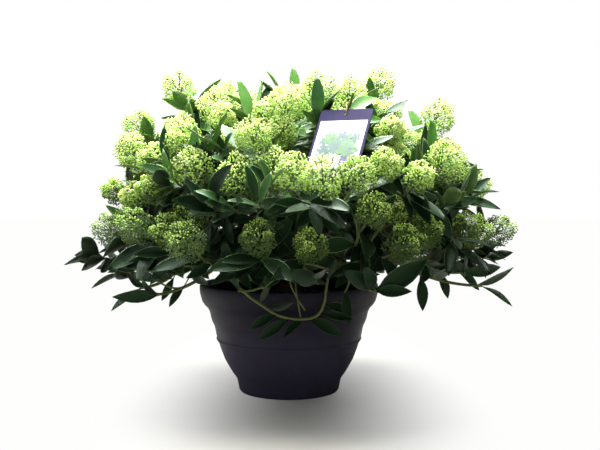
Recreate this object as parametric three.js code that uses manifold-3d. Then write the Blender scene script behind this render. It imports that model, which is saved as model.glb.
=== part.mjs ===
// A flowering skimmia in its round plastic pot: one short trunk, arching stems, a bough to each mass of
// foliage, and masses of leafy shoots that end in domed flower heads, with a card label tied to one shoot.
// Millimetres, +Z up, the front faces -Y. The origin is the middle of the pot's flat underside.
import * as THREE from 'three';
import { mergeVertices } from 'three/addons/utils/BufferGeometryUtils.js';
import Module from 'manifold-3d';

const wasm = await Module();
wasm.setup();

// ---- driving dimensions ----

const clearance = 0.3; // between two pieces that carry each other

const pot = {
  sides: 24,
  wall: 2.4,
  footRadius: 60,
  heelRadius: 67.5,
  heelHeight: 14,
  bandRadius: 101,
  bandHeight: 92,
  rimRadius: 115,
  height: 139,
  drainHoles: 4,
  drainRadius: 6,
  drainOffset: 40,
};

const soilTop = 118;
const trunkStem = { flareRadius: 27, radius: 15, domeCentre: 130, lobes: 5, lobeDepth: 0.16, sides: 15 };

// The crown is measured from its hub, a point on the pot's axis just above the trunk.
const hub = new THREE.Vector3(0, 0, 150);
const coreRadius = 112; // inside this ball there are only stems and boughs
const dome = { halfWidth: 302, height: 258 }; // of the crown, from the hub to the tops of its flower heads
const cellGap = 0.8; // each mass stays this far inside its own cone
const firstSeed = 801;

// Each tier of masses: how steeply it rises from the hub, what one mass holds, how far to each side and
// between which rises its shoots spread, how they turn upward, and how far short of their reach they may stop.
const tiers = {
  high: { rise: 66, heads: 5, leafy: 0, spread: 50, rises: [57, 83], lift: 0.15, drop: 0.13, perShoot: 4 },
  mid: { rise: 41, heads: 7, leafy: 0, spread: 32, rises: [28, 51], lift: 0.3, drop: 0.16, perShoot: 4 },
  low: { rise: 10, heads: 4, leafy: 1, spread: 14, rises: [10, 24], lift: 0.45, drop: 0.16, perShoot: 4 },
};

// Each stem turns this many degrees from +X, and bears masses: tier, turn, and reach as a part of the dome's.
const stems = [
  { name: 'centre', turn: 0, rise: 90, bears: [['high', 55, 1.0], ['high', 175, 1.01], ['high', 295, 1.02]] },
  { name: 'front', turn: 270, rise: 30, bears: [['mid', 270, 0.96], ['low', 234, 0.9], ['low', 270, 0.86]] },
  { name: 'right', turn: 342, rise: 30, bears: [['mid', 342, 1.0], ['low', 306, 0.9], ['low', 342, 1.0]] },
  { name: 'back_right', turn: 54, rise: 30, bears: [['mid', 54, 1.02], ['low', 18, 0.98], ['low', 54, 0.91]] },
  { name: 'back_left', turn: 126, rise: 30, bears: [['mid', 126, 1.02], ['low', 90, 0.91], ['low', 126, 0.92]] },
  { name: 'left', turn: 198, rise: 30, bears: [['mid', 198, 0.95], ['low', 162, 0.88], ['low', 198, 0.88]] },
];

// Shoots that stand out of the dome: the mass that bears one, its turn and rise, and its reach like a mass's.
const strays = [
  { tier: 'high', of: 55, kind: 'head', turn: 27, rise: 61, reach: 1.15 },
  { tier: 'high', of: 175, kind: 'head', turn: 180, rise: 59, reach: 1.12 },
  { tier: 'mid', of: 342, kind: 'head', turn: 359, rise: 46, reach: 1.08 },
  { tier: 'mid', of: 198, kind: 'head', turn: 181, rise: 44, reach: 1.05 },
  { tier: 'low', of: 342, kind: 'head', turn: 351, rise: 11, reach: 0.99 },
  { tier: 'low', of: 198, kind: 'leafy', turn: 188, rise: 6, reach: 0.97 },
];

const stemLimb = { rootRadius: 5.2, tipRadius: 4.2, knobRadius: 6.2, knobReach: 60, sides: 6, steps: 4 };
const boughLimb = { rootRadius: 3, tipRadius: 2.2, sides: 5, steps: 3 };
const twig = {
  stemRadius: 2.2,
  rootRadius: 0.6,
  shootRadius: 1.7,
  forkRadius: 5,
  forkBeyond: 24, // the core
  sides: 3,
  steps: 2,
};
const head = {
  radius: 24,
  height: 49,
  sides: 5,
  dome: [[0.24, 0.94], [0.68, 0.9], [1, 0.34]], // height and radius of its rings, as parts of its own
};
const leaf = {
  length: 70,
  widest: 0.52, // where along it, as a part of its length
  halfWidth: 0.2, // of its length
  thickness: 1.4,
  firstAt: 12, // below the shoot's tip
  everyMm: 6,
  apart: 8,
  steepest: 0.42, // how far down it may point
};
// Leaves keep off the pot, and above a level that rises outwards from a radius.
const potBerth = { radius: 119.5, height: 147, lowest: 114, slope: 0.33, slopeFrom: 150 };

const card = {
  width: 64,
  length: 92,
  thickness: 0.8,
  corner: 3,
  holeRadius: 2.2,
  holeFromTop: 6,
  turn: -26, // its top edge, from +X
  leanBack: 34,
  shootTurn: 299,
  shootRise: 55,
  shootReach: 268,
  tieFromTip: 14,
  hangs: 15, // from the shoot down to the hole
};
const tie = { radius: 0.6, sides: 4, steps: 20, halfWidth: 3 };

// ---- small helpers ----

const up = new THREE.Vector3(0, 0, 1);
const goldenTurn = 137.5;
const radians = THREE.MathUtils.degToRad;

// A unit vector that turns from +X about +Z and rises above level, both in degrees.
function aim(turn, rise) {
  const level = Math.cos(radians(rise));
  return new THREE.Vector3(
    level * Math.cos(radians(turn)),
    level * Math.sin(radians(turn)),
    Math.sin(radians(rise)),
  );
}

// How far the dome lies from the hub at a rise.
function domeReach(rise) {
  return 1 / Math.hypot(Math.cos(radians(rise)) / dome.halfWidth, Math.sin(radians(rise)) / dome.height);
}

// a + b * k, as a new vector
const along = (a, b, k) => a.clone().addScaledVector(b, k);

// A repeatable stream of numbers from 0 to 1.
function seeded(seed) {
  const modulus = 2147483647;
  const multiplier = 48271;
  let state = (seed * 7919 + 12345) % modulus;
  return () => {
    state = (state * multiplier) % modulus;
    return state / modulus;
  };
}

// Two unit vectors square to d: the first is level, the second leans up.
function squareTo(d) {
  const side = new THREE.Vector3().crossVectors(up, d);
  if (side.length() < 1e-6) side.set(1, 0, 0);
  side.normalize();
  return [side, new THREE.Vector3().crossVectors(d, side)];
}

// d leaned away by so many degrees, towards a turn about d.
function leanFrom(d, lean, swing) {
  const [side, rise] = squareTo(d);
  const off = side.multiplyScalar(Math.cos(radians(swing))).addScaledVector(rise, Math.sin(radians(swing)));
  return d.clone().multiplyScalar(Math.cos(radians(lean))).addScaledVector(off, Math.sin(radians(lean)));
}

// The geometry as a solid whose shared vertices are merged.
function solidFrom(geometry) {
  const bare = geometry.index ? geometry.toNonIndexed() : geometry.clone();
  bare.deleteAttribute('normal');
  bare.deleteAttribute('uv');
  const merged = mergeVertices(bare, 1e-3);
  const triVerts = new Uint32Array(merged.index.array);
  const vertProperties = merged.attributes.position.array;
  return new wasm.Manifold(new wasm.Mesh({ numProp: 3, vertProperties, triVerts }));
}

const grid = 1e-3; // corners are rounded to this

function geometryFrom(solid) {
  const mesh = solid.getMesh();
  const corners = Float32Array.from(mesh.vertProperties, (x) => Math.round(x / grid) * grid);
  return new THREE.BufferGeometry()
    .setAttribute('position', new THREE.BufferAttribute(corners, 3))
    .setIndex(new THREE.BufferAttribute(new Uint32Array(mesh.triVerts), 1));
}

// True where each edge still lies between two faces once the corners that fall together are joined.
function seamsAreSound(geometry) {
  const { array } = mergeVertices(geometry, grid).index;
  const uses = new Map();
  for (let i = 0; i < array.length; i += 3) {
    const [a, b, c] = array.slice(i, i + 3);
    if (a === b || b === c || c === a) continue;
    for (const [from, to] of [[a, b], [b, c], [c, a]]) {
      const edge = Math.min(from, to) + '-' + Math.max(from, to);
      uses.set(edge, (uses.get(edge) ?? 0) + 1);
    }
  }
  return [...uses.values()].every((count) => count === 2);
}

// Moves each vertex of a geometry to where the given function puts it.
function reshape(geometry, place) {
  const position = geometry.attributes.position;
  const v = new THREE.Vector3();
  for (let i = 0; i < position.count; i++) {
    v.fromBufferAttribute(position, i);
    const moved = place(v);
    position.setXYZ(i, moved.x, moved.y, moved.z);
  }
  return geometry;
}

// The point that lies at a fraction of a limb's length, on the straight runs between its rings.
function onLimb(curve, fraction, steps) {
  const run = Math.min(Math.floor(fraction * steps), steps - 1);
  return curve.getPointAt(run / steps).lerp(curve.getPointAt((run + 1) / steps), fraction * steps - run);
}

// A closed skin through rings, each with its middle, the way it faces and its radius, from root to tip.
function skin(rings, sides) {
  const [level] = squareTo(rings.at(-1).faces);
  return reshape(new THREE.CylinderGeometry(1, 1, 1, sides, rings.length - 1), (v) => {
    const ring = rings[Math.round((0.5 + v.y) * (rings.length - 1))];
    const across = along(level, ring.faces, -level.dot(ring.faces)).normalize();
    const over = new THREE.Vector3().crossVectors(across, ring.faces);
    return along(ring.middle, across, v.x * ring.radius).addScaledVector(over, v.z * ring.radius);
  });
}

// Rings along a curve, their radius given by radiusAt(0 at the root .. 1 at the tip).
function ringsAlong(curve, radiusAt, steps) {
  return Array.from({ length: steps + 1 }, (_, i) => ({
    middle: curve.getPointAt(i / steps),
    faces: curve.getTangentAt(i / steps),
    radius: radiusAt(i / steps),
  }));
}

const bend = (a, b, c) => new THREE.QuadraticBezierCurve3(a, b, c);

// ---- pot and soil ----

const potOutside = [
  [pot.footRadius, 0],
  [pot.heelRadius - 2.5, 4],
  [pot.heelRadius, pot.heelHeight],
  [pot.heelRadius + 3, pot.heelHeight + 3],
  [83, 42],
  [91.5, 66],
  [96.5, 86],
  [pot.bandRadius, pot.bandHeight],
  [102.5, 105],
  [108.5, 112],
  [pot.rimRadius - 2, 122],
  [pot.rimRadius, 132],
  [pot.rimRadius - 1, pot.height - 1],
  [pot.rimRadius - 4, pot.height],
];
const potInside = [
  [pot.rimRadius - 5.5, pot.height - 2],
  [106, 116],
  [98.5, 100],
  [88.5, 66],
  [80, 42],
  [63, pot.heelHeight],
  [56, 2 * pot.wall],
];

const toPoints = (pairs) => pairs.map(([r, z]) => new THREE.Vector2(r, z));

// A lathe turns about Y, so the profile is stood up along Z.
function turned(pairs, sides) {
  return new THREE.LatheGeometry(toPoints(pairs), sides).rotateX(Math.PI / 2);
}

function potGeometry() {
  const shell = solidFrom(turned([[0, 0], ...potOutside, ...potInside, [0, 2 * pot.wall]], pot.sides));
  let holed = shell;
  for (let k = 0; k < pot.drainHoles; k++) {
    const hole = new THREE.CylinderGeometry(pot.drainRadius, pot.drainRadius, 8 * pot.wall, 8)
      .rotateX(Math.PI / 2)
      .translate(pot.drainOffset, 0, 0)
      .rotateZ((k + 0.5) * (2 * Math.PI / pot.drainHoles));
    holed = holed.subtract(solidFrom(hole));
  }
  return geometryFrom(holed);
}

// The soil fills the pot up to its level top.
function soilGeometry() {
  const inner = [...potInside].reverse().filter(([, z]) => z < soilTop - 4);
  const walls = inner.map(([r, z]) => [r - clearance * 1.4, z]);
  walls[0][1] += clearance;
  const top = [[105.5, soilTop - 3], [102, soilTop], [0, soilTop]];
  return turned([[0, 2 * pot.wall + clearance], ...walls, ...top], pot.sides);
}

// ---- trunk, stems and boughs ----

// A short trunk with root flare, cut flat at the soil, and a rounded top that the stems spring from.
function trunkGeometry() {
  const { flareRadius, radius, domeCentre } = trunkStem;
  const bottom = soilTop + clearance;
  const flare = [[flareRadius, bottom], [0.78 * flareRadius, bottom + 3.5], [radius + 1, domeCentre - 4]];
  const profile = [[0, bottom], ...flare];
  for (const rise of [0, 30, 60]) {
    profile.push([radius * Math.cos(radians(rise)), domeCentre + radius * Math.sin(radians(rise))]);
  }
  profile.push([0, domeCentre + radius]);
  return reshape(turned(profile, trunkStem.sides), (v) => {
    const low = THREE.MathUtils.clamp((domeCentre - v.z) / (domeCentre - bottom), 0, 1);
    const lobe = 1 + trunkStem.lobeDepth * low * Math.cos(trunkStem.lobes * Math.atan2(v.y, v.x));
    return new THREE.Vector3(v.x * lobe, v.y * lobe, v.z);
  });
}

const trunkTop = new THREE.Vector3(0, 0, trunkStem.domeCentre);

// The knob at the end of a stem, where its boughs fork.
const knobOf = (stem) => along(hub, aim(stem.turn, stem.rise), stemLimb.knobReach);

function stemGeometry(stem) {
  const knob = knobOf(stem);
  const rootAim = aim(stem.turn, stem.rise === 90 ? 90 : 50);
  const root = along(trunkTop, rootAim, trunkStem.radius + clearance);
  const end = along(knob, aim(stem.turn, stem.rise), stemLimb.knobRadius * 0.8);
  const rising = along(root, rootAim, root.distanceTo(end) * 0.45);
  const taper = (t) => THREE.MathUtils.lerp(stemLimb.rootRadius, stemLimb.tipRadius, t);
  const rings = ringsAlong(bend(root, rising, end), taper, stemLimb.steps);
  const faces = rings.pop().faces;
  for (const [back, radius] of [[2, 0.75], [1, 0.98], [0.4, 0.9], [0, 0.5]]) {
    const middle = along(end, faces, -back * stemLimb.knobRadius);
    rings.push({ middle, faces, radius: radius * stemLimb.knobRadius });
  }
  return skin(rings, stemLimb.sides);
}

// A bough from its stem's knob to the edge of the core, where it meets its mass end to end.
function boughGeometry(mass) {
  const knob = knobOf(mass.stem);
  const tip = along(hub, mass.aim, coreRadius);
  const middle = along(tip, mass.aim, -0.4 * tip.distanceTo(knob));
  const rootAim = middle.clone().sub(knob).normalize();
  const root = along(knob, rootAim, stemLimb.knobRadius + clearance);
  const taper = (t) => THREE.MathUtils.lerp(boughLimb.rootRadius, boughLimb.tipRadius, t);
  return skin(ringsAlong(bend(root, middle, tip), taper, boughLimb.steps), boughLimb.sides);
}

// ---- the masses and the cone that each keeps to ----

const bearings = ['right', 'back_right', 'back', 'back_left', 'left', 'front_left', 'front', 'front_right'];
const bearingOf = (turn) => bearings[Math.round(turn / 45) % 8];

const masses = [];
for (const stem of stems) {
  for (const [tier, turn, fullness] of stem.bears) {
    const plan = tiers[tier];
    const name = tier + '_' + bearingOf(turn) + '_' + turn;
    const seed = firstSeed + masses.length;
    masses.push({ ...plan, name, stem, tier, turn, fullness, aim: aim(turn, plan.rise), seed });
  }
}

// A mass owns the points that lie nearer to its own aim than to any other mass's, seen from the hub.
for (const mass of masses) {
  const others = masses.filter((other) => other !== mass);
  mass.walls = others.map((other) => along(mass.aim, other.aim, -1).normalize());
}

function roomInCone(mass, point) {
  const p = point.clone().sub(hub);
  return Math.min(...mass.walls.map((wall) => p.dot(wall)));
}

// ---- the label's place, which shoots and leaves keep clear of ----

const forkOf = (mass) => along(hub, mass.aim, coreRadius + twig.forkBeyond);

// A shoot's middle line: out of the fork, then turning to its own axis at the tip.
function shootCurve(mass, tip, axis) {
  const fork = forkOf(mass);
  return bend(fork, along(tip, axis, -0.5 * tip.distanceTo(fork)), tip);
}

const labelMass = masses.find((mass) => mass.tier === 'high' && mass.turn === 295);
const labelTip = along(hub, aim(card.shootTurn, card.shootRise), card.shootReach);
const labelAxis = aim(card.shootTurn, card.shootRise).addScaledVector(up, 0.5).normalize();
const labelCurve = shootCurve(labelMass, labelTip, labelAxis);
const labelShoot = {
  kind: 'label',
  tip: labelTip,
  axis: labelAxis,
  size: 0.5,
  curve: labelCurve,
  path: labelCurve.getPoints(12),
};

const labelFrame = (() => {
  const across = aim(card.turn, 0);
  const faces = new THREE.Vector3().crossVectors(across, up);
  const lean = radians(card.leanBack);
  const normal = faces.multiplyScalar(Math.cos(lean)).addScaledVector(up, Math.sin(lean));
  const upward = new THREE.Vector3().crossVectors(normal, across);
  const held = onLimb(labelCurve, 1 - card.tieFromTip / labelCurve.getLength(), twig.steps);
  const stemAim = labelTip.clone().sub(held).normalize();
  return { across, upward, normal, held, stemAim, hole: along(held, upward, -card.hangs) };
})();

// True where a ball of that radius would touch the card or its tie.
function nearLabel(point, radius) {
  const p = point.clone().sub(labelFrame.hole);
  const x = Math.abs(p.dot(labelFrame.across));
  const y = p.dot(labelFrame.upward);
  const z = Math.abs(p.dot(labelFrame.normal));
  const onCard = x < card.width / 2 + radius && z < radius && y < card.holeFromTop + radius
    && y > card.holeFromTop - card.length - radius;
  const onTie = y > 0 && y < card.hangs + radius && Math.hypot(x, z) < tie.halfWidth + radius;
  return onCard || onTie;
}

// ---- shoots, flower heads and leaves ----

// The ball round a flower head that stands on tip.
const headBall = (shoot) => along(shoot.tip, shoot.axis, shoot.size * head.height * 0.45);

const allHeads = []; // the balls of every flower head so far

// A shoot's room: the distance to the nearest other head, or less than nothing where it doesn't fit.
function roomFor(mass, shoot) {
  const radius = shoot.size * head.radius;
  const strays = (p) => nearLabel(p, 5) || roomInCone(mass, p) < twig.stemRadius + cellGap;
  if (shoot.path.some(strays)) return -1;
  const ball = headBall(shoot);
  const bears = shoot.kind === 'head';
  if (bears && (roomInCone(mass, ball) < radius * 1.02 + cellGap || nearLabel(ball, radius + 2))) return -1;
  return Math.min(1000, ...allHeads.map((other) => other.distanceTo(ball))) - 1.6 * radius;
}

// A shoot of a mass that ends at a turn, a rise and a distance from the hub.
function shootTo(mass, kind, size, turn, rise, reach) {
  const heading = aim(turn, rise);
  const tip = along(hub, heading, reach - (kind === 'head' ? size * head.height : 35));
  const axis = along(heading, up, kind === 'head' ? mass.lift : 0.1).normalize();
  const curve = shootCurve(mass, tip, axis);
  return { kind, tip, axis, size, curve, path: curve.getPoints(12) };
}

// The shoots of one mass. Each is the roomiest of a number of seeded tries, which for a stray differ in size.
function growShoots(mass) {
  const rand = seeded(mass.seed);
  const shoots = mass === labelMass ? [labelShoot] : [];
  const strayed = strays.filter((stray) => stray.tier === mass.tier && stray.of === mass.turn);
  const tries = 40;
  for (let k = -strayed.length; k < mass.heads + mass.leafy; k++) {
    const stray = k < 0 ? strayed.at(k) : null;
    const kind = stray?.kind ?? (k < mass.heads ? 'head' : 'leafy');
    let best = null;
    let bestRoom = 0;
    for (let attempt = 0; attempt < tries; attempt++) {
      const size = 0.88 + 0.26 * rand();
      const turn = mass.turn + mass.spread * (2 * rand() - 1);
      const rise = THREE.MathUtils.lerp(...mass.rises, rand()) - (kind === 'head' ? 0 : 12);
      const reach = mass.fullness * domeReach(rise) * (1 - mass.drop * rand());
      const shoot = stray
        ? shootTo(mass, kind, size, stray.turn, stray.rise, stray.reach * domeReach(stray.rise))
        : shootTo(mass, kind, size, turn, rise, reach);
      const room = roomFor(mass, shoot);
      if (room > bestRoom) {
        best = shoot;
        bestRoom = room;
      }
    }
    if (!best) continue;
    shoots.push(best);
    if (kind === 'head') allHeads.push(headBall(best));
  }
  return shoots;
}

// A leaf's own frame: its root, the way it points, its upper side and its size.
function leafAt(shoot, index, turnBy, rand) {
  const length = shoot.curve.getLength();
  const from = Math.min(leaf.firstAt + leaf.everyMm * index, length * 0.92);
  const root = onLimb(shoot.curve, 1 - from / length, twig.steps);
  const spread = 44 + 7 * index + 16 * rand();
  const points = leanFrom(shoot.axis, spread, turnBy + goldenTurn * index);
  const normal = along(shoot.axis, points, -shoot.axis.dot(points)).normalize();
  const side = new THREE.Vector3().crossVectors(normal, points);
  const size = leaf.length * (0.84 + 0.3 * rand());
  return { root, points, normal, side, length: size, arch: 0.08 + 0.14 * rand() };
}

// A point of a leaf: s runs 0..1 from root to tip, w -1..1 across, h is the height off its face.
function onLeaf(l, s, w, h) {
  const width = l.length * leaf.halfWidth * w;
  const height = h - l.arch * l.length * s * s + 0.25 * Math.abs(width);
  return along(l.root, l.points, s * l.length).addScaledVector(l.side, width).addScaledVector(l.normal, height);
}

// True where a leaf comes too near the blade of another.
function leavesCross(a, b) {
  for (let i = 3; i <= 10; i++) {
    const p = onLeaf(a, i / 10, 0, 0);
    for (let k = 3; k <= 10; k++) {
      if (onLeaf(b, k / 10, 0, 0).distanceTo(p) < leaf.apart) return true;
    }
  }
  return false;
}

function leafFits(mass, l, placed) {
  if (l.points.z < -leaf.steepest) return false;
  for (let i = 1; i <= 10; i++) {
    const s = i / 10;
    const outline = Math.min(s / leaf.widest, (1 - s) / (1 - leaf.widest));
    for (const w of [-outline, 0, outline]) {
      const p = onLeaf(l, s, w, 0);
      if (roomInCone(mass, p) < cellGap + leaf.thickness) return false;
      if (p.distanceTo(hub) < coreRadius + 5) return false;
      const out = Math.hypot(p.x, p.y);
      if (p.z < potBerth.height && out < potBerth.radius) return false;
      if (p.z < potBerth.lowest + potBerth.slope * Math.max(0, out - potBerth.slopeFrom)) return false;
      if (nearLabel(p, 4.5)) return false;
      const inHead = (o) => o.kind === 'head' && headBall(o).distanceTo(p) < 1.06 * o.size * head.radius;
      const onShoot = (o) => o.path.some((q) => q.distanceTo(p) < 5);
      if (placed.some(inHead) || (s > 0.15 && placed.some(onShoot))) return false;
    }
  }
  return true;
}

// The leaves of one mass. One that would leave its cone, or touch a head, the pot or the label, is turned,
// and after so many tries it is skipped.
function growLeaves(mass, shoots) {
  const rand = seeded(mass.seed + 100);
  const leaves = [];
  const tries = 14;
  for (const shoot of shoots) {
    const phase = 360 * rand();
    for (let index = 0; index < mass.perShoot + (shoot.kind === 'leafy' ? 1 : 0); index++) {
      for (let attempt = 0; attempt < tries; attempt++) {
        const l = leafAt(shoot, index, phase + attempt * 26, rand);
        if (shoot.kind === 'label' && l.root.distanceTo(labelFrame.held) < 6) continue;
        if (leafFits(mass, l, shoots) && !leaves.some((other) => leavesCross(l, other))) {
          leaves.push(l);
          break;
        }
      }
    }
  }
  return leaves;
}

// A leaf of eight faces: a long octahedron, bent along its length and folded up at its sides.
function leafGeometry(l) {
  return reshape(new THREE.OctahedronGeometry(1, 0), (v) => {
    if (v.x < -0.5) return onLeaf(l, 0, 0, 0);
    if (v.x > 0.5) return onLeaf(l, 1, 0, 0);
    return onLeaf(l, leaf.widest, v.y, v.z * leaf.thickness / 2);
  });
}

// A shoot, which swells at its tip into a domed flower head where it bears one.
function shootGeometry(shoot, rand) {
  const taper = (t) => t === 0 ? twig.rootRadius : THREE.MathUtils.lerp(twig.stemRadius, twig.shootRadius, t);
  const rings = ringsAlong(shoot.curve, taper, twig.steps);
  if (shoot.kind !== 'head') return skin(rings, twig.sides);
  for (const [height, radius] of head.dome) {
    rings.push({
      middle: along(shoot.tip, shoot.axis, shoot.size * head.height * height),
      faces: shoot.axis,
      radius: shoot.size * head.radius * radius * (0.92 + 0.12 * rand()),
    });
  }
  return skin(rings, head.sides);
}

// One mass: its stem from the bough's end to the fork, its shoots, and leaves fused on with their roots sunk
// in. Where the join leaves a seam too fine to hold, the leaves are sunk a little deeper.
function massGeometry(mass) {
  const shoots = growShoots(mass);
  const leaves = growLeaves(mass, shoots);
  const rand = seeded(mass.seed + 200);
  const start = along(hub, mass.aim, coreRadius + clearance);
  const fork = along(forkOf(mass), mass.aim, 1);
  const twigs = [
    skin(ringsAlong(new THREE.LineCurve3(start, fork), () => twig.stemRadius, 1), twig.sides),
    new THREE.OctahedronGeometry(twig.forkRadius).translate(...forkOf(mass)),
  ];
  for (const shoot of shoots) twigs.push(shootGeometry(shoot, rand));
  for (let sink = 0; sink < 1; sink += 0.1) {
    const blades = leaves.map((l) => leafGeometry({ ...l, root: along(l.root, l.points, -sink) }));
    const joined = wasm.Manifold.union([...twigs, ...blades].map(solidFrom)).simplify(0.03);
    const largest = joined.decompose().sort((a, b) => b.volume() - a.volume())[0];
    const geometry = geometryFrom(largest);
    if (seamsAreSound(geometry)) return geometry;
  }
  throw new Error('no sound join for ' + mass.name);
}

// ---- label ----

function cardGeometry() {
  const half = card.width / 2;
  const top = card.holeFromTop;
  const low = top - card.length;
  const c = card.corner;
  const outline = new THREE.Shape()
    .moveTo(-half + c, low).lineTo(half - c, low)
    .absarc(half - c, low + c, c, -Math.PI / 2, 0)
    .lineTo(half, top - c)
    .absarc(half - c, top - c, c, 0, Math.PI / 2)
    .lineTo(-half + c, top)
    .absarc(-half + c, top - c, c, Math.PI / 2, Math.PI)
    .lineTo(-half, low + c)
    .absarc(-half + c, low + c, c, Math.PI, 1.5 * Math.PI);
  outline.holes.push(new THREE.Path().absarc(0, 0, card.holeRadius, 0, 2 * Math.PI, true));
  const through = { depth: card.thickness, bevelEnabled: false, curveSegments: 2 };
  return new THREE.ExtrudeGeometry(outline, through).translate(0, 0, -card.thickness / 2);
}

// A thin loop through the card's hole and over the shoot.
function tieGeometry() {
  const { held, hole, upward, normal, stemAim } = labelFrame;
  const over = along(upward, stemAim, -upward.dot(stemAim)).normalize();
  const beside = new THREE.Vector3().crossVectors(stemAim, over);
  if (beside.dot(normal) < 0) beside.negate();
  const round = twig.shootRadius + tie.radius + clearance + 0.3;
  const rest = card.holeRadius - tie.radius - clearance;
  const stops = [
    along(held, over, round),
    along(held, beside, round * 1.1),
    along(along(hole, upward, card.holeFromTop + 1), normal, tie.halfWidth),
    along(along(hole, upward, rest + 1), normal, tie.halfWidth * 0.7),
    along(hole, upward, rest),
    along(along(hole, upward, rest + 1), normal, -tie.halfWidth * 0.7),
    along(along(hole, upward, card.holeFromTop + 1), normal, -tie.halfWidth),
    along(held, beside, -round * 1.1),
  ];
  const loop = new THREE.CatmullRomCurve3(stops, true);
  return new THREE.TubeGeometry(loop, tie.steps, tie.radius, tie.sides, true);
}

// ---- assembly ----

const finish = (color, roughness) => new THREE.MeshStandardMaterial({ color, roughness, metalness: 0 });
const materials = {
  plastic: finish(0x33323a, 0.55),
  soil: finish(0x2a211b, 0.95),
  bark: finish(0x6b6148, 0.85),
  greenStem: finish(0x6f7a3d, 0.7),
  foliage: finish(0x3d5f2e, 0.5),
  card: finish(0x2b2338, 0.4),
  tie: finish(0xb59a63, 0.7),
};

function mesh(name, geometry, material) {
  const made = new THREE.Mesh(geometry, material);
  made.name = name;
  return made;
}

const container = new THREE.Group();
container.add(mesh('pot', potGeometry(), materials.plastic));
container.add(mesh('soil', soilGeometry(), materials.soil));

const wood = new THREE.Group();
wood.add(mesh('trunk', trunkGeometry(), materials.bark));
for (const stem of stems) wood.add(mesh('stem_' + stem.name, stemGeometry(stem), materials.bark));
for (const mass of masses) wood.add(mesh('bough_' + mass.name, boughGeometry(mass), materials.greenStem));

const crown = new THREE.Group();
for (const mass of masses) crown.add(mesh('foliage_' + mass.name, massGeometry(mass), materials.foliage));

const label = new THREE.Group();
const labelCard = mesh('label_card', cardGeometry(), materials.card);
labelCard.position.copy(labelFrame.hole);
labelCard.quaternion.setFromRotationMatrix(
  new THREE.Matrix4().makeBasis(labelFrame.across, labelFrame.upward, labelFrame.normal),
);
label.add(labelCard);
label.add(mesh('label_tie', tieGeometry(), materials.tie));

const skimmia = new THREE.Group();
skimmia.add(container, wood, crown, label);

export default skimmia;
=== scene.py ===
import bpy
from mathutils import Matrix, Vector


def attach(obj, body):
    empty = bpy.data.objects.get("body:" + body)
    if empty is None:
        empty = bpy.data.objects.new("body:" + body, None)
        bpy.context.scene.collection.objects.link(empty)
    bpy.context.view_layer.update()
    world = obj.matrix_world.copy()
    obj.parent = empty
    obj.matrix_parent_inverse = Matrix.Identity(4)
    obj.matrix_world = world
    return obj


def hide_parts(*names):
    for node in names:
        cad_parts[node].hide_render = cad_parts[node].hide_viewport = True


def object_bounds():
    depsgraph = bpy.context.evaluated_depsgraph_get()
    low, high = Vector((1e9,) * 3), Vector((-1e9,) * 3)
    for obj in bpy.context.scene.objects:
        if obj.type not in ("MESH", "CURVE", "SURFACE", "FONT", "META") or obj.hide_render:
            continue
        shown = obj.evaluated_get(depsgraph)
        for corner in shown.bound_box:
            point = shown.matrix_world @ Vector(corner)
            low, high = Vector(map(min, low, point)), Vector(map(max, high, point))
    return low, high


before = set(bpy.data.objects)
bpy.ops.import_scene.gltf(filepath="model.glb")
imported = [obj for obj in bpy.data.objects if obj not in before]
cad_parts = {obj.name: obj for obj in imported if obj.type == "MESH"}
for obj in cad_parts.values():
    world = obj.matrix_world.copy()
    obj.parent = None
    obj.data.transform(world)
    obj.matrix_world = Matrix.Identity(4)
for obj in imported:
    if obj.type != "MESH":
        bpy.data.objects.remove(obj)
cadBox = [list(corner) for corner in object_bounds()]

import math

import bmesh
import bpy
import numpy as np
from mathutils import Matrix, Vector, noise

mm = 0.001
up = np.array((0.0, 0.0, 1.0))
goldenTurn = 137.5  # degrees from one leaf or bud to the next

# the camera stands in front of the pot, a little above it, and looks slightly down
cameraPlan = {"eye": (14.2, -1160.0, 265.0), "lookDown": 2.54, "lens": 54.0, "sensor": 36.0}


def addObject(name, data):
    made = bpy.data.objects.new(name, data)
    bpy.context.scene.collection.objects.link(made)
    return made


def makeCamera():
    data = bpy.data.cameras.new("camera")
    data.lens, data.sensor_width = cameraPlan["lens"], cameraPlan["sensor"]
    camera = addObject("camera", data)
    camera.location = Vector(cameraPlan["eye"]) * mm
    camera.rotation_euler = (math.radians(90 - cameraPlan["lookDown"]), 0, 0)
    bpy.context.scene.camera = camera


makeCamera()
print("camera is in place")

# the rule of growth, with the same sizes and seeds as the solids
hub = np.array((0.0, 0.0, 150.0))  # all masses point away from here
crown = {"coreRadius": 112, "halfWidth": 302, "height": 258, "cellGap": 0.8, "firstSeed": 801}
tiers = {
    "high": {"rise": 66, "heads": 5, "leafy": 0, "spread": 50, "rises": (57, 83), "lift": 0.15, "drop": 0.13},
    "mid": {"rise": 41, "heads": 7, "leafy": 0, "spread": 32, "rises": (28, 51), "lift": 0.3, "drop": 0.16},
    "low": {"rise": 10, "heads": 4, "leafy": 1, "spread": 14, "rises": (10, 24), "lift": 0.45, "drop": 0.16},
}
stemPlans = [  # each stem's turn and rise, and the masses that it bears: tier, turn and fullness
    (0, 90, [("high", 55, 1.0), ("high", 175, 1.01), ("high", 295, 1.02)]),
    (270, 30, [("mid", 270, 0.96), ("low", 234, 0.9), ("low", 270, 0.86)]),
    (342, 30, [("mid", 342, 1.0), ("low", 306, 0.9), ("low", 342, 1.0)]),
    (54, 30, [("mid", 54, 1.02), ("low", 18, 0.98), ("low", 54, 0.91)]),
    (126, 30, [("mid", 126, 1.02), ("low", 90, 0.91), ("low", 126, 0.92)]),
    (198, 30, [("mid", 198, 0.95), ("low", 162, 0.88), ("low", 198, 0.88)]),
]
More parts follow.
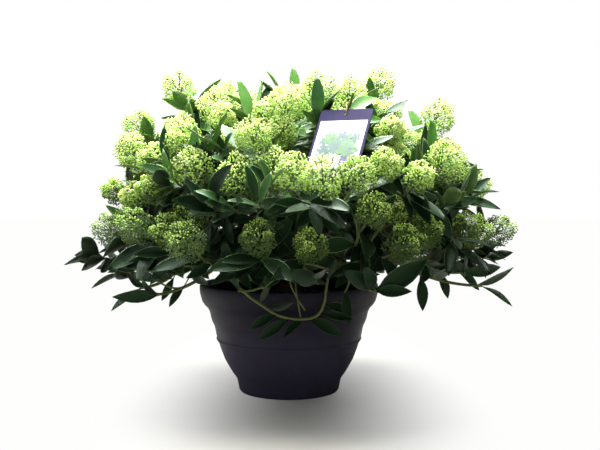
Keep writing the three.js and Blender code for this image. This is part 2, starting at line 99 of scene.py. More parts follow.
strays = [  # shoots that stand out of the dome: mass, whether it bears a head, turn, rise and reach
    (("high", 55), True, 27, 61, 1.15),
    (("high", 175), True, 180, 59, 1.12),
    (("mid", 342), True, 359, 46, 1.08),
    (("mid", 198), True, 181, 44, 1.05),
    (("low", 342), True, 351, 11, 0.99),
    (("low", 198), False, 188, 6, 0.97),
]
stemLimb = {"root": 5.72, "tip": 4.2, "knob": 5.6, "knobReach": 60}
boughLimb = {"root": 3.3, "tip": 2.3, "knob": 3, "bend": 0.4}
trunkStem = {"flare": 27, "radius": 15, "domeCentre": 130, "lobes": 5, "lobeDepth": 0.16}
twig = {"radius": 2.2, "tip": 1.7, "forkBeyond": 24, "runs": 2}
head = {"radius": 24, "height": 49, "middle": 0.45}
shootRule = {"tries": 40, "sizes": (0.88, 0.26), "apart": 1.6, "leafyLower": 12, "leafyShort": 35,
             "leafyLift": 0.1}
leafRule = {
    "length": 70,
    "lengths": (0.84, 0.3),
    "widest": 0.52,
    "halfWidth": 0.2,
    "fold": 0.25,
    "arch": (0.08, 0.14),
    "lean": 44,  # degrees off its shoot, with so many more for each leaf and by chance
    "leanEach": 7,
    "leanVaries": 16,
    "thickness": 1.4,
    "firstAt": 12,
    "every": 6,
    "apart": 8,
    "offCore": 5,
    "offShoots": 5,
    "offHeads": 1.06,
    "offTie": 6,
    "steepest": 0.42,
    "perShoot": 4,
    "tries": 14,
}
potBerth = {"radius": 119.5, "height": 147, "lowest": 114, "slope": 0.33, "slopeFrom": 150}
card = {
    "width": 64,
    "length": 92,
    "thickness": 0.8,
    "corner": 3,
    "holeRadius": 2.2,
    "holeFromTop": 6,
    "turn": -26,
    "leanBack": 34,
    "shoot": {"turn": 299, "rise": 55, "reach": 268, "lift": 0.5, "size": 0.5},
    "tieFromTip": 14,
    "hangs": 15,
}
tie = {"radius": 0.6, "halfWidth": 3, "clearance": 0.6}


def seeded(seed):
    modulus, multiplier = 2147483647, 48271
    state = [(seed * 7919 + 12345) % modulus]

    def draw():
        state[0] = state[0] * multiplier % modulus
        return state[0] / modulus

    return draw


def between(low, high, t):
    return (1 - t) * low + t * high


def vary(plan, rand):  # from a least value, and the most that chance adds to it
    return plan[0] + plan[1] * rand()


def unit(v):
    return v / np.linalg.norm(v)


def aim(turn, rise):
    turn, rise = math.radians(turn), math.radians(rise)
    return np.array((math.cos(rise) * math.cos(turn), math.cos(rise) * math.sin(turn), math.sin(rise)))


def domeReach(rise):
    rise = math.radians(rise)
    return 1 / math.hypot(math.cos(rise) / crown["halfWidth"], math.sin(rise) / crown["height"])


def squareTo(d):
    side = np.cross(up, d)
    size = np.linalg.norm(side)
    side = side / size if size > 1e-6 else np.array((1.0, 0.0, 0.0))
    return side, np.cross(d, side)


def leanFrom(d, lean, swing):
    side, rise = squareTo(d)
    lean, swing = math.radians(lean), math.radians(swing)
    off = side * math.cos(swing) + rise * math.sin(swing)
    return d * math.cos(lean) + off * math.sin(lean)


class Bend:  # a curve from its root to its tip that sets out towards a point beside them
    fine = np.linspace(0, 1, 201)

    def __init__(self, root, towards, tip):
        self.root, self.towards, self.tip = root, towards, tip
        steps = np.linalg.norm(np.diff(self.at(self.fine), axis=0), axis=1)
        self.marks = np.concatenate(([0.0], np.cumsum(steps)))
        self.length = self.marks[-1]

    def at(self, t):
        t = np.atleast_1d(t)[:, None]
        return (1 - t) ** 2 * self.root + 2 * (1 - t) * t * self.towards + t * t * self.tip

    def along(self, part):  # points at parts of its length
        return self.at(np.interp(np.atleast_1d(part) * self.length, self.marks, self.fine))

    def heading(self, part):
        return unit(self.along(min(part + 0.02, 1))[0] - self.along(max(part - 0.02, 0))[0])

    def onRuns(self, part, runs):  # the same place on the straight runs that the solids are made of
        run = min(int(part * runs), runs - 1)
        ends = self.along((run / runs, (run + 1) / runs))
        return ends[0] + (ends[1] - ends[0]) * (part * runs - run)


def bendTo(root, tip, axis, share=0.5):  # a curve that comes to its tip along an axis
    return Bend(root, tip - axis * (share * math.dist(tip, root)), tip)


def shootOn(kind, curve, axis, size, tier=None):
    return {"kind": kind, "curve": curve, "tip": curve.tip, "axis": axis, "size": size, "tier": tier,
            "path": curve.at(np.linspace(0, 1, 13))}


def makeMasses():
    made = []
    for stemTurn, stemRise, bears in stemPlans:
        knob = hub + aim(stemTurn, stemRise) * stemLimb["knobReach"]
        for tier, turn, fullness in bears:
            mass = {**tiers[tier], "tier": tier, "turn": turn, "fullness": fullness, "knob": knob,
                    "seed": crown["firstSeed"] + len(made), "aim": aim(turn, tiers[tier]["rise"])}
            mass["fork"] = hub + mass["aim"] * (crown["coreRadius"] + twig["forkBeyond"])
            mass["bough"] = bendTo(knob, mass["fork"], mass["aim"], boughLimb["bend"])
            made.append(mass)
    for mass in made:
        mass["walls"] = np.array([unit(mass["aim"] - other["aim"]) for other in made if other is not mass])
    return made


masses = makeMasses()


def massAt(tier, turn):
    return next(mass for mass in masses if (mass["tier"], mass["turn"]) == (tier, turn))


def roomInCone(mass, points):
    return ((np.atleast_2d(points) - hub) @ mass["walls"].T).min(axis=1)


def makeLabelShoot():
    plan = card["shoot"]
    heading = aim(plan["turn"], plan["rise"])
    axis = unit(heading + up * plan["lift"])
    curve = bendTo(labelMass["fork"], hub + heading * plan["reach"], axis)
    return shootOn("label", curve, axis, plan["size"])


def makeLabelFrame():
    across, lean = aim(card["turn"], 0), math.radians(card["leanBack"])
    normal = np.cross(across, up) * math.cos(lean) + up * math.sin(lean)
    upward = np.cross(normal, across)
    curve = labelShoot["curve"]
    held = curve.onRuns(1 - card["tieFromTip"] / curve.length, twig["runs"])
    return {"across": across, "upward": upward, "normal": normal, "held": held,
            "aim": unit(labelShoot["tip"] - held), "hole": held - upward * card["hangs"]}


labelMass = massAt("high", 295)
labelShoot = makeLabelShoot()
labelFrame = makeLabelFrame()


def onLabel(points):  # across the card, up it and out from it, from the middle of its hole
    offsets = np.atleast_2d(points) - labelFrame["hole"]
    return [offsets @ labelFrame[key] for key in ("across", "upward", "normal")]


def nearLabel(points, radius):
    x, y, z = onLabel(points)
    x, z = np.abs(x), np.abs(z)
    top, bottom = card["holeFromTop"], card["holeFromTop"] - card["length"]
    onCard = (x < card["width"] / 2 + radius) & (z < radius) & (y < top + radius) & (y > bottom - radius)
    onTie = (y > 0) & (y < card["hangs"] + radius) & (np.hypot(x, z) < tie["halfWidth"] + radius)
    return onCard | onTie


def headBall(shoot):
    return shoot["tip"] + shoot["axis"] * (shoot["size"] * head["height"] * head["middle"])


headBalls = []  # the middles of all flower heads so far


def roomFor(mass, shoot):
    radius, path = shoot["size"] * head["radius"], shoot["path"]
    if nearLabel(path, 5).any() or (roomInCone(mass, path) < twig["radius"] + crown["cellGap"]).any():
        return -1
    ball = headBall(shoot)
    if shoot["kind"] == "head":
        tight = roomInCone(mass, ball)[0] < radius * 1.02 + crown["cellGap"]
        if tight or nearLabel(ball, radius + 2)[0]:
            return -1
    nearest = min((math.dist(other, ball) for other in headBalls), default=1000)
    return min(1000, nearest) - shootRule["apart"] * radius


def shootTo(mass, bears, size, turn, rise, reach):
    heading = aim(turn, rise)
    tip = hub + heading * (reach - (size * head["height"] if bears else shootRule["leafyShort"]))
    axis = unit(heading + up * (mass["lift"] if bears else shootRule["leafyLift"]))
    return shootOn("head" if bears else "leafy", bendTo(mass["fork"], tip, axis), axis, size, mass["tier"])


def growShoots(mass):
    rand = seeded(mass["seed"])
    shoots = [labelShoot] if mass is labelMass else []
    strayed = [plan[1:] for plan in strays if plan[0] == (mass["tier"], mass["turn"])]
    for k in range(-len(strayed), mass["heads"] + mass["leafy"]):
        bears = strayed[k][0] if k < 0 else k < mass["heads"]
        best, bestRoom = None, 0
        for attempt in range(shootRule["tries"]):
            size = vary(shootRule["sizes"], rand)
            turn = mass["turn"] + mass["spread"] * (2 * rand() - 1)
            rise = between(*mass["rises"], rand()) - (0 if bears else shootRule["leafyLower"])
            reach = mass["fullness"] * domeReach(rise) * (1 - mass["drop"] * rand())
            if k < 0:
                _, turn, rise, part = strayed[k]
                reach = part * domeReach(rise)
            shoot = shootTo(mass, bears, size, turn, rise, reach)
            room = roomFor(mass, shoot)
            if room > bestRoom:
                best, bestRoom = {**shoot, "stray": k < 0}, room
        if best is not None:
            shoots.append(best)
            if bears:
                headBalls.append(headBall(best))
    return shoots


def leafAt(shoot, index, turnBy, rand, narrow=0):
    curve, rule = shoot["curve"], leafRule
    back = min(rule["firstAt"] + rule["every"] * index, curve.length * 0.92)
    spread = rule["lean"] + rule["leanEach"] * index + rule["leanVaries"] * rand() - narrow
    points = leanFrom(shoot["axis"], spread, turnBy + goldenTurn * index)
    normal = unit(shoot["axis"] - points * shoot["axis"].dot(points))
    part = 1 - back / curve.length
    return {"root": curve.onRuns(part, twig["runs"]), "seat": curve.along(part)[0], "points": points,
            "normal": normal, "side": np.cross(normal, points),
            "length": rule["length"] * vary(rule["lengths"], rand),
            "arch": vary(rule["arch"], rand), "back": back, "shoot": shoot}


leafStations = [(s, w) for s in np.linspace(0.1, 1, 10) for w in (-1, 0, 1)]
midStations = [(s, 0) for s in np.linspace(0.3, 1, 8)]


def leafOutline(leaf, stations=leafStations):  # points of a leaf, s along it and w across it
    s, w = np.array(stations).T
    narrow = np.minimum(s / leafRule["widest"], (1 - s) / (1 - leafRule["widest"]))
    width = leaf["length"] * leafRule["halfWidth"] * narrow * w
    height = leafRule["fold"] * np.abs(width) - leaf["arch"] * leaf["length"] * s * s
    return (leaf["root"] + np.outer(s * leaf["length"], leaf["points"]) + np.outer(width, leaf["side"])
            + np.outer(height, leaf["normal"]))


def farOut(points):  # distances from the pot's axis
    return np.hypot(points[:, 0], points[:, 1])


def gapsTo(points, middles):  # distances from each of the points to each of the middles
    return np.linalg.norm(points[:, None] - middles[None], axis=2)


def clearOfAll(points):  # true where a leaf keeps off the pot and the label, and doesn't hang too low
    berth, out, z = potBerth, farOut(points), points[:, 2]
    inPot = (z < berth["height"]) & (out < berth["radius"])
    low = z < berth["lowest"] + berth["slope"] * np.maximum(0, out - berth["slopeFrom"])
    return not (inPot.any() or low.any() or nearLabel(points, 4.5).any())


def leafFits(mass, leaf, shoots):
    if leaf["points"][2] < -leafRule["steepest"]:
        return False
    points = leafOutline(leaf)
    if (roomInCone(mass, points) < crown["cellGap"] + leafRule["thickness"]).any():
        return False
    inCore = np.linalg.norm(points - hub, axis=1) < crown["coreRadius"] + leafRule["offCore"]
    if inCore.any() or not clearOfAll(points):
        return False
    for shoot in shoots:
        berth = leafRule["offHeads"] * shoot["size"] * head["radius"]
        if shoot["kind"] == "head" and (np.linalg.norm(points - headBall(shoot), axis=1) < berth).any():
            return False
        if (gapsTo(points[3:], shoot["path"]) < leafRule["offShoots"]).any():
            return False
    return True


def onTieSeat(leaf):
    gap = math.dist(leaf["root"], labelFrame["held"])
    return leaf["shoot"]["kind"] == "label" and gap < leafRule["offTie"]


def growLeaves(mass, shoots):
    rand = seeded(mass["seed"] + 100)
    leaves = []
    for shoot in shoots:
        phase = 360 * rand()
        for index in range(leafRule["perShoot"] + (shoot["kind"] == "leafy")):
            for attempt in range(leafRule["tries"]):
                leaf = leafAt(shoot, index, phase + attempt * 26, rand)
                if onTieSeat(leaf) or not leafFits(mass, leaf, shoots):
                    continue
                leaf["line"] = leafOutline(leaf, midStations)
                if all(gapsTo(leaf["line"], other["line"]).min() >= leafRule["apart"] for other in leaves):
                    leaves.append(leaf)
                    break
    return leaves


for mass in masses:
    mass["shoots"] = growShoots(mass)
    mass["leaves"] = growLeaves(mass, mass["shoots"])
leafCount = sum(len(mass["leaves"]) for mass in masses)
print("grew", len(headBalls), "heads and", leafCount, "leaves by the solids' rule")

# finer growth within the same reach
finer = {
    "lowest": 132,  # finer leaves keep above this, so that the crown stays open over the rim
    "limit": 6.0,  # how far past the solids' box a leaf may reach
    "offHeads": 0.96,  # how near a leaf comes to a head, as a part of its radius
    "lengths": (0.66, 0.32),
    "whorl": 4,  # more leaves on each shoot than the solids have
    "strayLeaves": 6,  # more leaves on each shoot that stands out of the dome
    "strayNarrow": 12,
    "skirt": {"from": 128, "level": 128, "slope": 0.5, "top": 153},  # leaves below this are left off
    "flatFrom": 200,  # low leaves farther out than this don't stand upright
    "flatBelow": 190,
    "steepest": 0.6,
}
sideHead = {
    "each": {"high": 1, "mid": 2, "low": 0},  # side shoots with a smaller head, tried on each shoot
    "from": (0.3, 0.75),
    "tries": 14,
    "sizes": (0.62, 0.9),
    "lean": (20, 45),
    "length": (50, 50),
    "reach": (0.98, -0.12),
    "rise": 24,  # side heads and tufts stand at least this steeply over the hub
    "apart": 1.03,  # how near two heads may come, as a part of their radii together
    "offLabel": 14,
    "leaves": 5,
}
labelNeighbours = [  # heads around the label and before its lower edge: turn, rise, reach of the middle, size
    (266.0, 58.0, 205, 0.8),
    (280.0, 28.5, 254, 0.98),
    (288.5, 28.0, 262, 0.82),
    (298.0, 31.0, 262, 0.74),
]
inner = {  # leaves on each bough and stem, inside the crown
    "stemRoot": hub - up * 26,
    "leaves": 7,
    "tries": 8,
    "lengths": (0.64, 0.24),
    "lowest": 126,
    "rimLevel": 144,  # they stay above this where they are over the rim
    "rimFrom": 98,
}
hanging = {  # a bare shoot whose tip is lower than this gets a few leaves that may hang
    "tipBelow": 205,
    "bare": 3,
    "lowest": 112,
    "offPot": 6,
    "narrow": 22,
}
sprayPlan = {  # leafy side shoots inside the crown, so many tried on each shoot
    "each": 2,
    "from": (0.25, 0.72),
    "tries": 8,
    "lean": (20, 46),
    "length": (48, 86),
    "withinDome": 0.86,
    "leaves": 5,
    "size": 0.6,
}
tuftPlan = {"from": (0.35, 0.7), "tries": 12, "scatter": 130, "offHeads": 1, "narrow": 28}
tufts = {"dome": (0.8, 0.88), "leaves": 6, "seeds": (8000, 17000)}  # one tried on each upper shoot
accents = {"dome": (0.84, 0.91), "leaves": 4, "seeds": (39000, 48000)}  # darker, on every second one
accentLength = 0.86
labelView = {"depth": 110, "beside": 8}  # the space before the label that accents leave free

allShoots = [(mass, shoot) for mass in masses for shoot in mass["shoots"]]
heads = [shoot for _, shoot in allShoots if shoot["kind"] == "head"]
lowBox = np.array(cadBox[0]) / mm - finer["limit"]
highBox = np.array(cadBox[1]) / mm + finer["limit"]


def headArrays():
    return np.array([headBall(s) for s in heads]), np.array([s["size"] * head["radius"] for s in heads])


def headGap(points, share=1.0):
    return (gapsTo(points, headMiddles) - share * headRadii).min()


def withinReach(points):
    return ((points > lowBox) & (points < highBox)).all()


def riseOf(offset):
    return math.degrees(math.asin(offset[2] / np.linalg.norm(offset)))


def growSideHead(mass, shoot, rand):
    plan = sideHead
    part = between(*plan["from"], rand())
    root, heading = shoot["curve"].along(part)[0], shoot["curve"].heading(part)
    middles, radii = headArrays()
    best, bestRoom = None, 0
    for attempt in range(plan["tries"]):
        size = between(*plan["sizes"], rand())
        way = leanFrom(heading, vary(plan["lean"], rand), 360 * rand())
        out = unit(root + way * vary(plan["length"], rand) - hub)
        rise = riseOf(out)
        reach = mass["fullness"] * domeReach(max(rise, 0)) * vary(plan["reach"], rand)
        axis = unit(out + up * mass["lift"])
        curve = bendTo(root, hub + out * (reach - size * head["height"]), axis)
        side = shootOn("head", curve, axis, size, mass["tier"])
        path, ball, radius = side["path"], headBall(side), size * head["radius"]
        if rise < plan["rise"] or nearLabel(path, 4).any() or nearLabel(ball, radius + plan["offLabel"])[0]:
            continue
        if not withinReach(np.array((ball - radius, ball + radius))) or not clearOfAll(path):
            continue
        room = (np.linalg.norm(middles - ball, axis=1) - plan["apart"] * (radii + radius)).min()
        if room > bestRoom and (gapsTo(path[3:-3], middles) > radii).all():
            best, bestRoom = side, room
    return best


def growLabelNeighbours():
    mass = massAt("mid", 270)
    grown = []
    for turn, rise, reach, size in labelNeighbours:
        out = aim(turn, rise)
        axis = unit(out + up * mass["lift"])
        tip = hub + out * reach - axis * (size * head["height"] * head["middle"])
        grown.append((mass, shootOn("head", bendTo(mass["fork"], tip, axis), axis, size, mass["tier"])))
        heads.append(grown[-1][1])
    return grown


def growSideHeads():
    grown = growLabelNeighbours()
    for turn in range(max(sideHead["each"].values())):
        for number, (mass, shoot) in enumerate(allShoots):
            if turn >= sideHead["each"][mass["tier"]]:
                continue
            side = growSideHead(mass, shoot, seeded(3000 + 500 * turn + number))
            if side is not None:
                grown.append((mass, side))
                heads.append(side)
    return grown


sideShoots = growSideHeads()
headMiddles, headRadii = headArrays()
print("grew", len(sideShoots), "side shoots with heads of their own")


def offAll(points):
    return withinReach(points) and headGap(points[3:], finer["offHeads"]) > 0


def leafIsFree(leaf):
    points = leafOutline(leaf)
    return points[:, 2].min() > finer["lowest"] and clearOfAll(points) and offAll(points)


def mayHang(leaf):
    points = leafOutline(leaf)
    offPot = farOut(points).min() > potBerth["radius"] + hanging["offPot"]
    return offPot and points[:, 2].min() > hanging["lowest"] and offAll(points)


def innerIsFree(leaf):  # for leaves inside the crown, some of which are over the soil
    points = leafOutline(leaf)
    overRim = (farOut(points) > inner["rimFrom"]) & (points[:, 2] < inner["rimLevel"])
    return not overRim.any() and points[:, 2].min() > inner["lowest"] and headGap(points) > 0


def growWhorl(shoot, places, seed, isFree=leafIsFree, tries=10, turn=31, lengths=finer["lengths"], narrow=0):
    rand = seeded(seed)
    phase = 360 * rand()
    grown = []
    for index in places:
        for attempt in range(tries):
            leaf = leafAt(shoot, index, phase + attempt * turn, rand, narrow)
            leaf["length"] *= vary(lengths, rand)
            if not onTieSeat(leaf) and isFree(leaf):
                grown.append(leaf)
                break
    return grown


def growInner():
    grown = []
    for number, mass in enumerate(masses):
        root, knob = inner["stemRoot"], mass["knob"]
        bough = {"kind": "bough", "axis": mass["aim"], "curve": mass["bough"]}
        stem = {"kind": "bough", "axis": unit(knob - root), "curve": Bend(root, (root + knob) / 2, knob)}
        for limb, seed in ((bough, 23000), (stem, 24000)):
            grown += growWhorl(limb, range(inner["leaves"]), seed + number, innerIsFree, inner["tries"], 41,
                               inner["lengths"])
    # leaves inside the crown all take the deepest tint, as painted shade
    return [{**leaf, "tint": 0} for leaf in grown]


def growHanging(leaves):  # leaves for the low shoots that are still nearly bare
    grown = []
    for number, (_, shoot) in enumerate(allShoots):
        bare = sum(leaf["shoot"] is shoot for leaf in leaves) < hanging["bare"]
        if bare and shoot["tip"][2] < hanging["tipBelow"]:
            grown += growWhorl(shoot, range(2), 21000 + number, mayHang, 12, narrow=hanging["narrow"])
    return [leaf for leaf in grown if leavesRoom(leaf)]


def growSpray(mass, shoot, rand):
    plan = sprayPlan
    part = between(*plan["from"], rand())
    root, heading = shoot["curve"].along(part)[0], shoot["curve"].heading(part)
    for attempt in range(plan["tries"]):
        axis = leanFrom(heading, between(*plan["lean"], rand()), 360 * rand())
        tip = root + axis * between(*plan["length"], rand())
        axis = unit(axis + up * mass["lift"] * 0.5)
        curve = Bend(root, root + heading * (0.45 * math.dist(tip, root)), tip)
        spray = shootOn("spray", curve, axis, plan["size"])
        path, out = spray["path"], tip - hub
        reach = plan["withinDome"] * mass["fullness"] * domeReach(max(riseOf(out), 0))
        inside = np.linalg.norm(out) < reach and path[:, 2].min() > finer["lowest"]
        if inside and headGap(path[3:]) > 0 and clearOfAll(path[3:]) and withinReach(path):
            return spray
    return None


def growTuft(mass, shoot, dome, rand):
    plan = tuftPlan
    root = shoot["curve"].along(between(*plan["from"], rand()))[0]
    best, bestRoom = None, 0
    for attempt in range(plan["tries"]):
        out = unit(shoot["tip"] - hub + np.array([rand() - 0.5 for _ in range(3)]) * plan["scatter"])
        rise = riseOf(out)
        if rise < sideHead["rise"]:
            continue
        tip = hub + out * (mass["fullness"] * domeReach(rise) * between(*dome, rand()))
        axis = unit(out + up * mass["lift"])
        tuft = shootOn("spray", bendTo(root, tip, axis), axis, sprayPlan["size"])
        room = headGap(tuft["path"][3:]) - plan["offHeads"]
        if room > bestRoom and clearOfAll(tuft["path"][3:]):
            best, bestRoom = tuft, room
    return best


def growTufts(upper, plan):  # tufts, and a list of leaves for each
    grown, whorls = [], []
    shootSeed, leafSeed = plan["seeds"]
    places, narrow = range(plan["leaves"]), tuftPlan["narrow"]
    for number, mass, shoot in upper:
        tuft = growTuft(mass, shoot, plan["dome"], seeded(shootSeed + number))
        if tuft is not None:
            grown.append(tuft)
            whorls.append(growWhorl(tuft, places, leafSeed + number, narrow=narrow))
    return grown, whorls


def hidesLabel(leaf):
    x, y, z = onLabel(leafOutline(leaf))
    beside = np.abs(x) < card["width"] / 2 + labelView["beside"]
    return (beside & (y > -card["length"]) & (z > 0) & (z < labelView["depth"])).any()


def growFiner():
    upper = [(number, *both) for number, both in enumerate(allShoots) if both[0]["tier"] != "low"]
    sprays, whorls = growTufts(upper, tufts)
    leaves = [leaf for whorl in whorls for leaf in whorl]
    darker, whorls = growTufts(upper[::2], accents)
    sprays += darker
    for whorl in whorls:
        for k, leaf in enumerate(whorl):
            leaf["tint"] = 1 + k % 2
            leaf["length"] *= accentLength
            leaves += [] if hidesLabel(leaf) else [leaf]
    first = leafRule["perShoot"]
    for number, (mass, shoot) in enumerate(allShoots):
        leaves += growWhorl(shoot, range(first, first + finer["whorl"]), 5000 + number)
        rand = seeded(7000 + number)
        for k in range(sprayPlan["each"]):
            spray = growSpray(mass, shoot, rand)
            if spray is not None:
                sprays.append(spray)
                leaves += growWhorl(spray, range(sprayPlan["leaves"]), 9000 + 7 * number + k)
    for number, (_, shoot) in enumerate(sideShoots):
        leaves += growWhorl(shoot, range(1, 1 + sideHead["leaves"]), 15000 + number)
    for number, shoot in enumerate(shoot for _, shoot in allShoots if shoot.get("stray")):
        leaves += growWhorl(shoot, range(finer["strayLeaves"]), 26000 + number, tries=14,
                            narrow=finer["strayNarrow"])
    return sprays, leaves


trailing = [  # thin young shoots over the rim, with leaves: part, aim, length, and the side that faces out
    {"radius": 1.8,
     "stops": [(-34, -84, 170), (-60, -104, 152), (-46, -117, 137), (-27, -122, 124), (-10, -124.5, 114),
               (14, -125.5, 110), (33, -124, 113.5), (42, -121, 127), (44.5, -118, 143), (47, -112, 156)],
     "leaves": [(0.3, (0.5, -0.3, 0.8), 32, -1), (0.36, (0.93, -0.3, 0.2), 42, -1),
                (0.99, (0.4, -0.1, 0.9), 34, -1), (0.95, (-0.9, -0.3, 0.35), 48, -1),
                (0.5, (-0.86, -0.1, -0.5), 50, 1), (0.42, (-0.7, -0.2, -0.3), 40, 1),
                (0.57, (-0.35, -0.1, -0.3), 36, 1), (0.62, (0.93, -0.1, -0.4), 50, 1),
                (0.7, (0.8, -0.2, -0.1), 46, 1), (0.78, (0.9, -0.2, -0.25), 40, 1)]},
    {"radius": 1.4,
     "stops": [(12, -92, 186), (2, -106, 166), (3, -116, 151), (10, -121, 136), (20, -123.5, 120)],
     "leaves": [(0.4, (-0.85, -0.3, 0.45), 40, -1), (0.5, (0.8, -0.4, 0.5), 36, 1)]},
    {"radius": 1.1, "stops": [(8, -100, 176), (9, -116, 152), (11, -121.5, 134), (15, -124, 112)],
     "leaves": []},
    {"radius": 1.3, "stops": [(62, -84, 170), (72, -100, 160), (71, -112, 150), (66, -119, 140)],
     "leaves": [(0.6, (0.8, -0.5, 0.35), 44, 1), (0.97, (0.1, -0.35, -0.85), 44, 1)]},
    {"radius": 1.2, "stops": [(127, -41, 174), (148, -53, 168), (162, -60, 154)],
     "leaves": [(0.98, (0.08, -0.1, -1), 50, 1), (0.9, (0.9, -0.3, 0.1), 40, 1)]},
    {"radius": 1.1, "stops": [(127, -41, 174), (160, -52, 172), (184, -58, 158)],
     "leaves": [(0.98, (0.4, -0.1, -0.9), 40, 1), (0.8, (0.8, -0.3, 0.5), 44, 1)]},
    {"radius": 1.1, "stops": [(-127, -41, 174), (-138, -42, 162), (-143, -42, 150)],
     "leaves": [(0.98, (-0.5, -0.1, -0.85), 38, 1), (0.8, (-0.9, -0.3, -0.1), 40, 1)]},
    {"radius": 1.0, "stops": [(-100, -60, 172), (-118, -66, 156), (-127, -66, 142)],
     "leaves": [(0.98, (-0.62, -0.2, -0.75), 36, 1)]},
]
trailingPlace = {"halfWidth": 56, "before": -97, "below": 150}  # other leaves leave this to them


def smoothLine(stops, steps=6):  # a smooth line through all of its stops
    ends = np.vstack((2 * stops[0] - stops[1], stops, 2 * stops[-1] - stops[-2]))
    line = []
    for a, b, c, d in zip(ends, ends[1:], ends[2:], ends[3:]):
        for t in np.linspace(0, 1, steps + 1)[:-1]:
            line.append(0.5 * (2 * b + (c - a) * t + (2 * a - 5 * b + 4 * c - d) * t * t
                               + (3 * b - a - 3 * c + d) * t ** 3))
    return np.array(line + [stops[-1]])


def growTrailing():
    limbs, leaves = [], []
    rand = seeded(640)
    for plan in trailing:
        line = smoothLine(np.array(plan["stops"], float))
        limbs.append((line, np.linspace(plan["radius"] * 1.15, plan["radius"] * 0.75, len(line))))
        for part, points, length, faces in plan["leaves"]:
            points = unit(np.array(points))
            toFront = faces * (up * 0.6 + np.array((0, -1, 0)))
            normal = unit(toFront - points * toFront.dot(points))
            # these leaves hang in front of the pot and take the deepest tint, as painted shade
            leaves.append({"seat": line[round(part * (len(line) - 1))], "points": points, "normal": normal,
                           "side": np.cross(normal, points), "length": length,
                           "arch": vary((0.1, 0.12), rand), "tint": 0, "shoot": None, "rolls": 0.4})
    return limbs, leaves


def leavesRoom(leaf):  # false where a leaf would hide the trailing shoots
    x, y, z = leafOutline(leaf).T
    place = trailingPlace
    return not ((np.abs(x) < place["halfWidth"]) & (y < place["before"]) & (z < place["below"])).any()


def overSkirt(leaf):  # the underside of the crown rises outwards from the rim, and stays open
    points, skirt = leafOutline(leaf), finer["skirt"]
    out = farOut(points)
    lowest = np.clip(skirt["level"] + skirt["slope"] * (out - skirt["from"]), skirt["level"], skirt["top"])
    upright = leaf["points"][2] > finer["steepest"]
    far = out[0] > finer["flatFrom"] and points[0, 2] < finer["flatBelow"]
    return (points[:, 2] > lowest).all() and not (upright and far)


trailingLimbs, trailingLeaves = growTrailing()
sprays, finerLeaves = growFiner()
allLeaves = [leaf for mass in masses for leaf in mass["leaves"]] + finerLeaves
allLeaves = [leaf for leaf in allLeaves if leavesRoom(leaf) and overSkirt(leaf)]
allLeaves += growHanging(allLeaves) + growInner() + trailingLeaves
print("grew", len(sprays), "leafy side shoots, and", len(allLeaves), "leaves in all")


# finishes
def colour(red, green, blue):  # from screen values of 0 to 255
    shares = (((c / 255 + 0.055) / 1.055) ** 2.4 if c > 10 else c / 3295 for c in (red, green, blue))
    return (*shares, 1)


def feed(tree, node, fed):  # gives sockets their values, or links them where the value is a socket
    for socket, value in fed.items():
        if isinstance(value, bpy.types.NodeSocket):
            tree.links.new(value, node.inputs[socket])
        else:
            node.inputs[socket].default_value = value


def addNode(tree, kind, fed=None, **settings):
    node = tree.nodes.new("ShaderNode" + kind)
    for setting, value in settings.items():
        setattr(node, setting, value)
    feed(tree, node, fed or {})
    return node


def newGroup(name, inputs, outputs):
    group = bpy.data.node_groups.new(name, "ShaderNodeTree")
    for label, kind, value in inputs:
        socket = group.interface.new_socket(label, in_out="INPUT", socket_type="NodeSocket" + kind)
        socket.default_value = value
    for label, kind in outputs:
        group.interface.new_socket(label, in_out="OUTPUT", socket_type="NodeSocket" + kind)
    return group, group.nodes.new("NodeGroupInput").outputs, group.nodes.new("NodeGroupOutput")


def makeMottle():  # a slow and a fast change between three colours
    tree, given, gives = newGroup(
        "mottle",
        [("Dark", "Color", (0, 0, 0, 1)), ("Middle", "Color", (0.5, 0.5, 0.5, 1)),
         ("Light", "Color", (1, 1, 1, 1)), ("Scale", "Float", 40)],
        [("Color", "Color"), ("Mask", "Float")],
    )
    place = addNode(tree, "TexCoord").outputs["Object"]
    slow = addNode(tree, "TexNoise", {"Vector": place, "Scale": given["Scale"], "Detail": 3})
    ramp = addNode(tree, "MapRange", {"Value": slow.outputs["Fac"], "From Min": 0.32, "From Max": 0.68})
    mask = ramp.outputs["Result"]
    quicker = addNode(tree, "Math", {0: given["Scale"], 1: 6}, operation="MULTIPLY")
    fast = addNode(tree, "TexNoise", {"Vector": place, "Scale": quicker.outputs[0], "Detail": 4})
    half = addNode(tree, "Math", {0: fast.outputs["Fac"], 1: 0.55}, operation="MULTIPLY")
    lower = addNode(tree, "Mix", data_type="RGBA")
    feed(tree, lower, {"Factor": mask, "A": given["Dark"], "B": given["Middle"]})
    upper = addNode(tree, "Mix", data_type="RGBA")
    feed(tree, upper, {"Factor": half.outputs[0], "A": lower.outputs["Result"], "B": given["Light"]})
    feed(tree, gives, {"Color": upper.outputs["Result"], "Mask": mask})
    return tree


def makeRelief():  # a fine grain as a bumped normal
    tree, given, gives = newGroup(
        "relief", [("Scale", "Float", 400), ("Strength", "Float", 0.2), ("Depth", "Float", 0.0002)],
        [("Normal", "Vector")],
    )
    place = addNode(tree, "TexCoord").outputs["Object"]
    grain = addNode(tree, "TexNoise", {"Vector": place, "Scale": given["Scale"], "Detail": 5})
    bump = addNode(tree, "Bump", {"Strength": given["Strength"], "Distance": given["Depth"],
                                  "Height": grain.outputs["Fac"]})
    feed(tree, gives, {"Normal": bump.outputs["Normal"]})
    return tree


mottle = makeMottle()
relief = makeRelief()


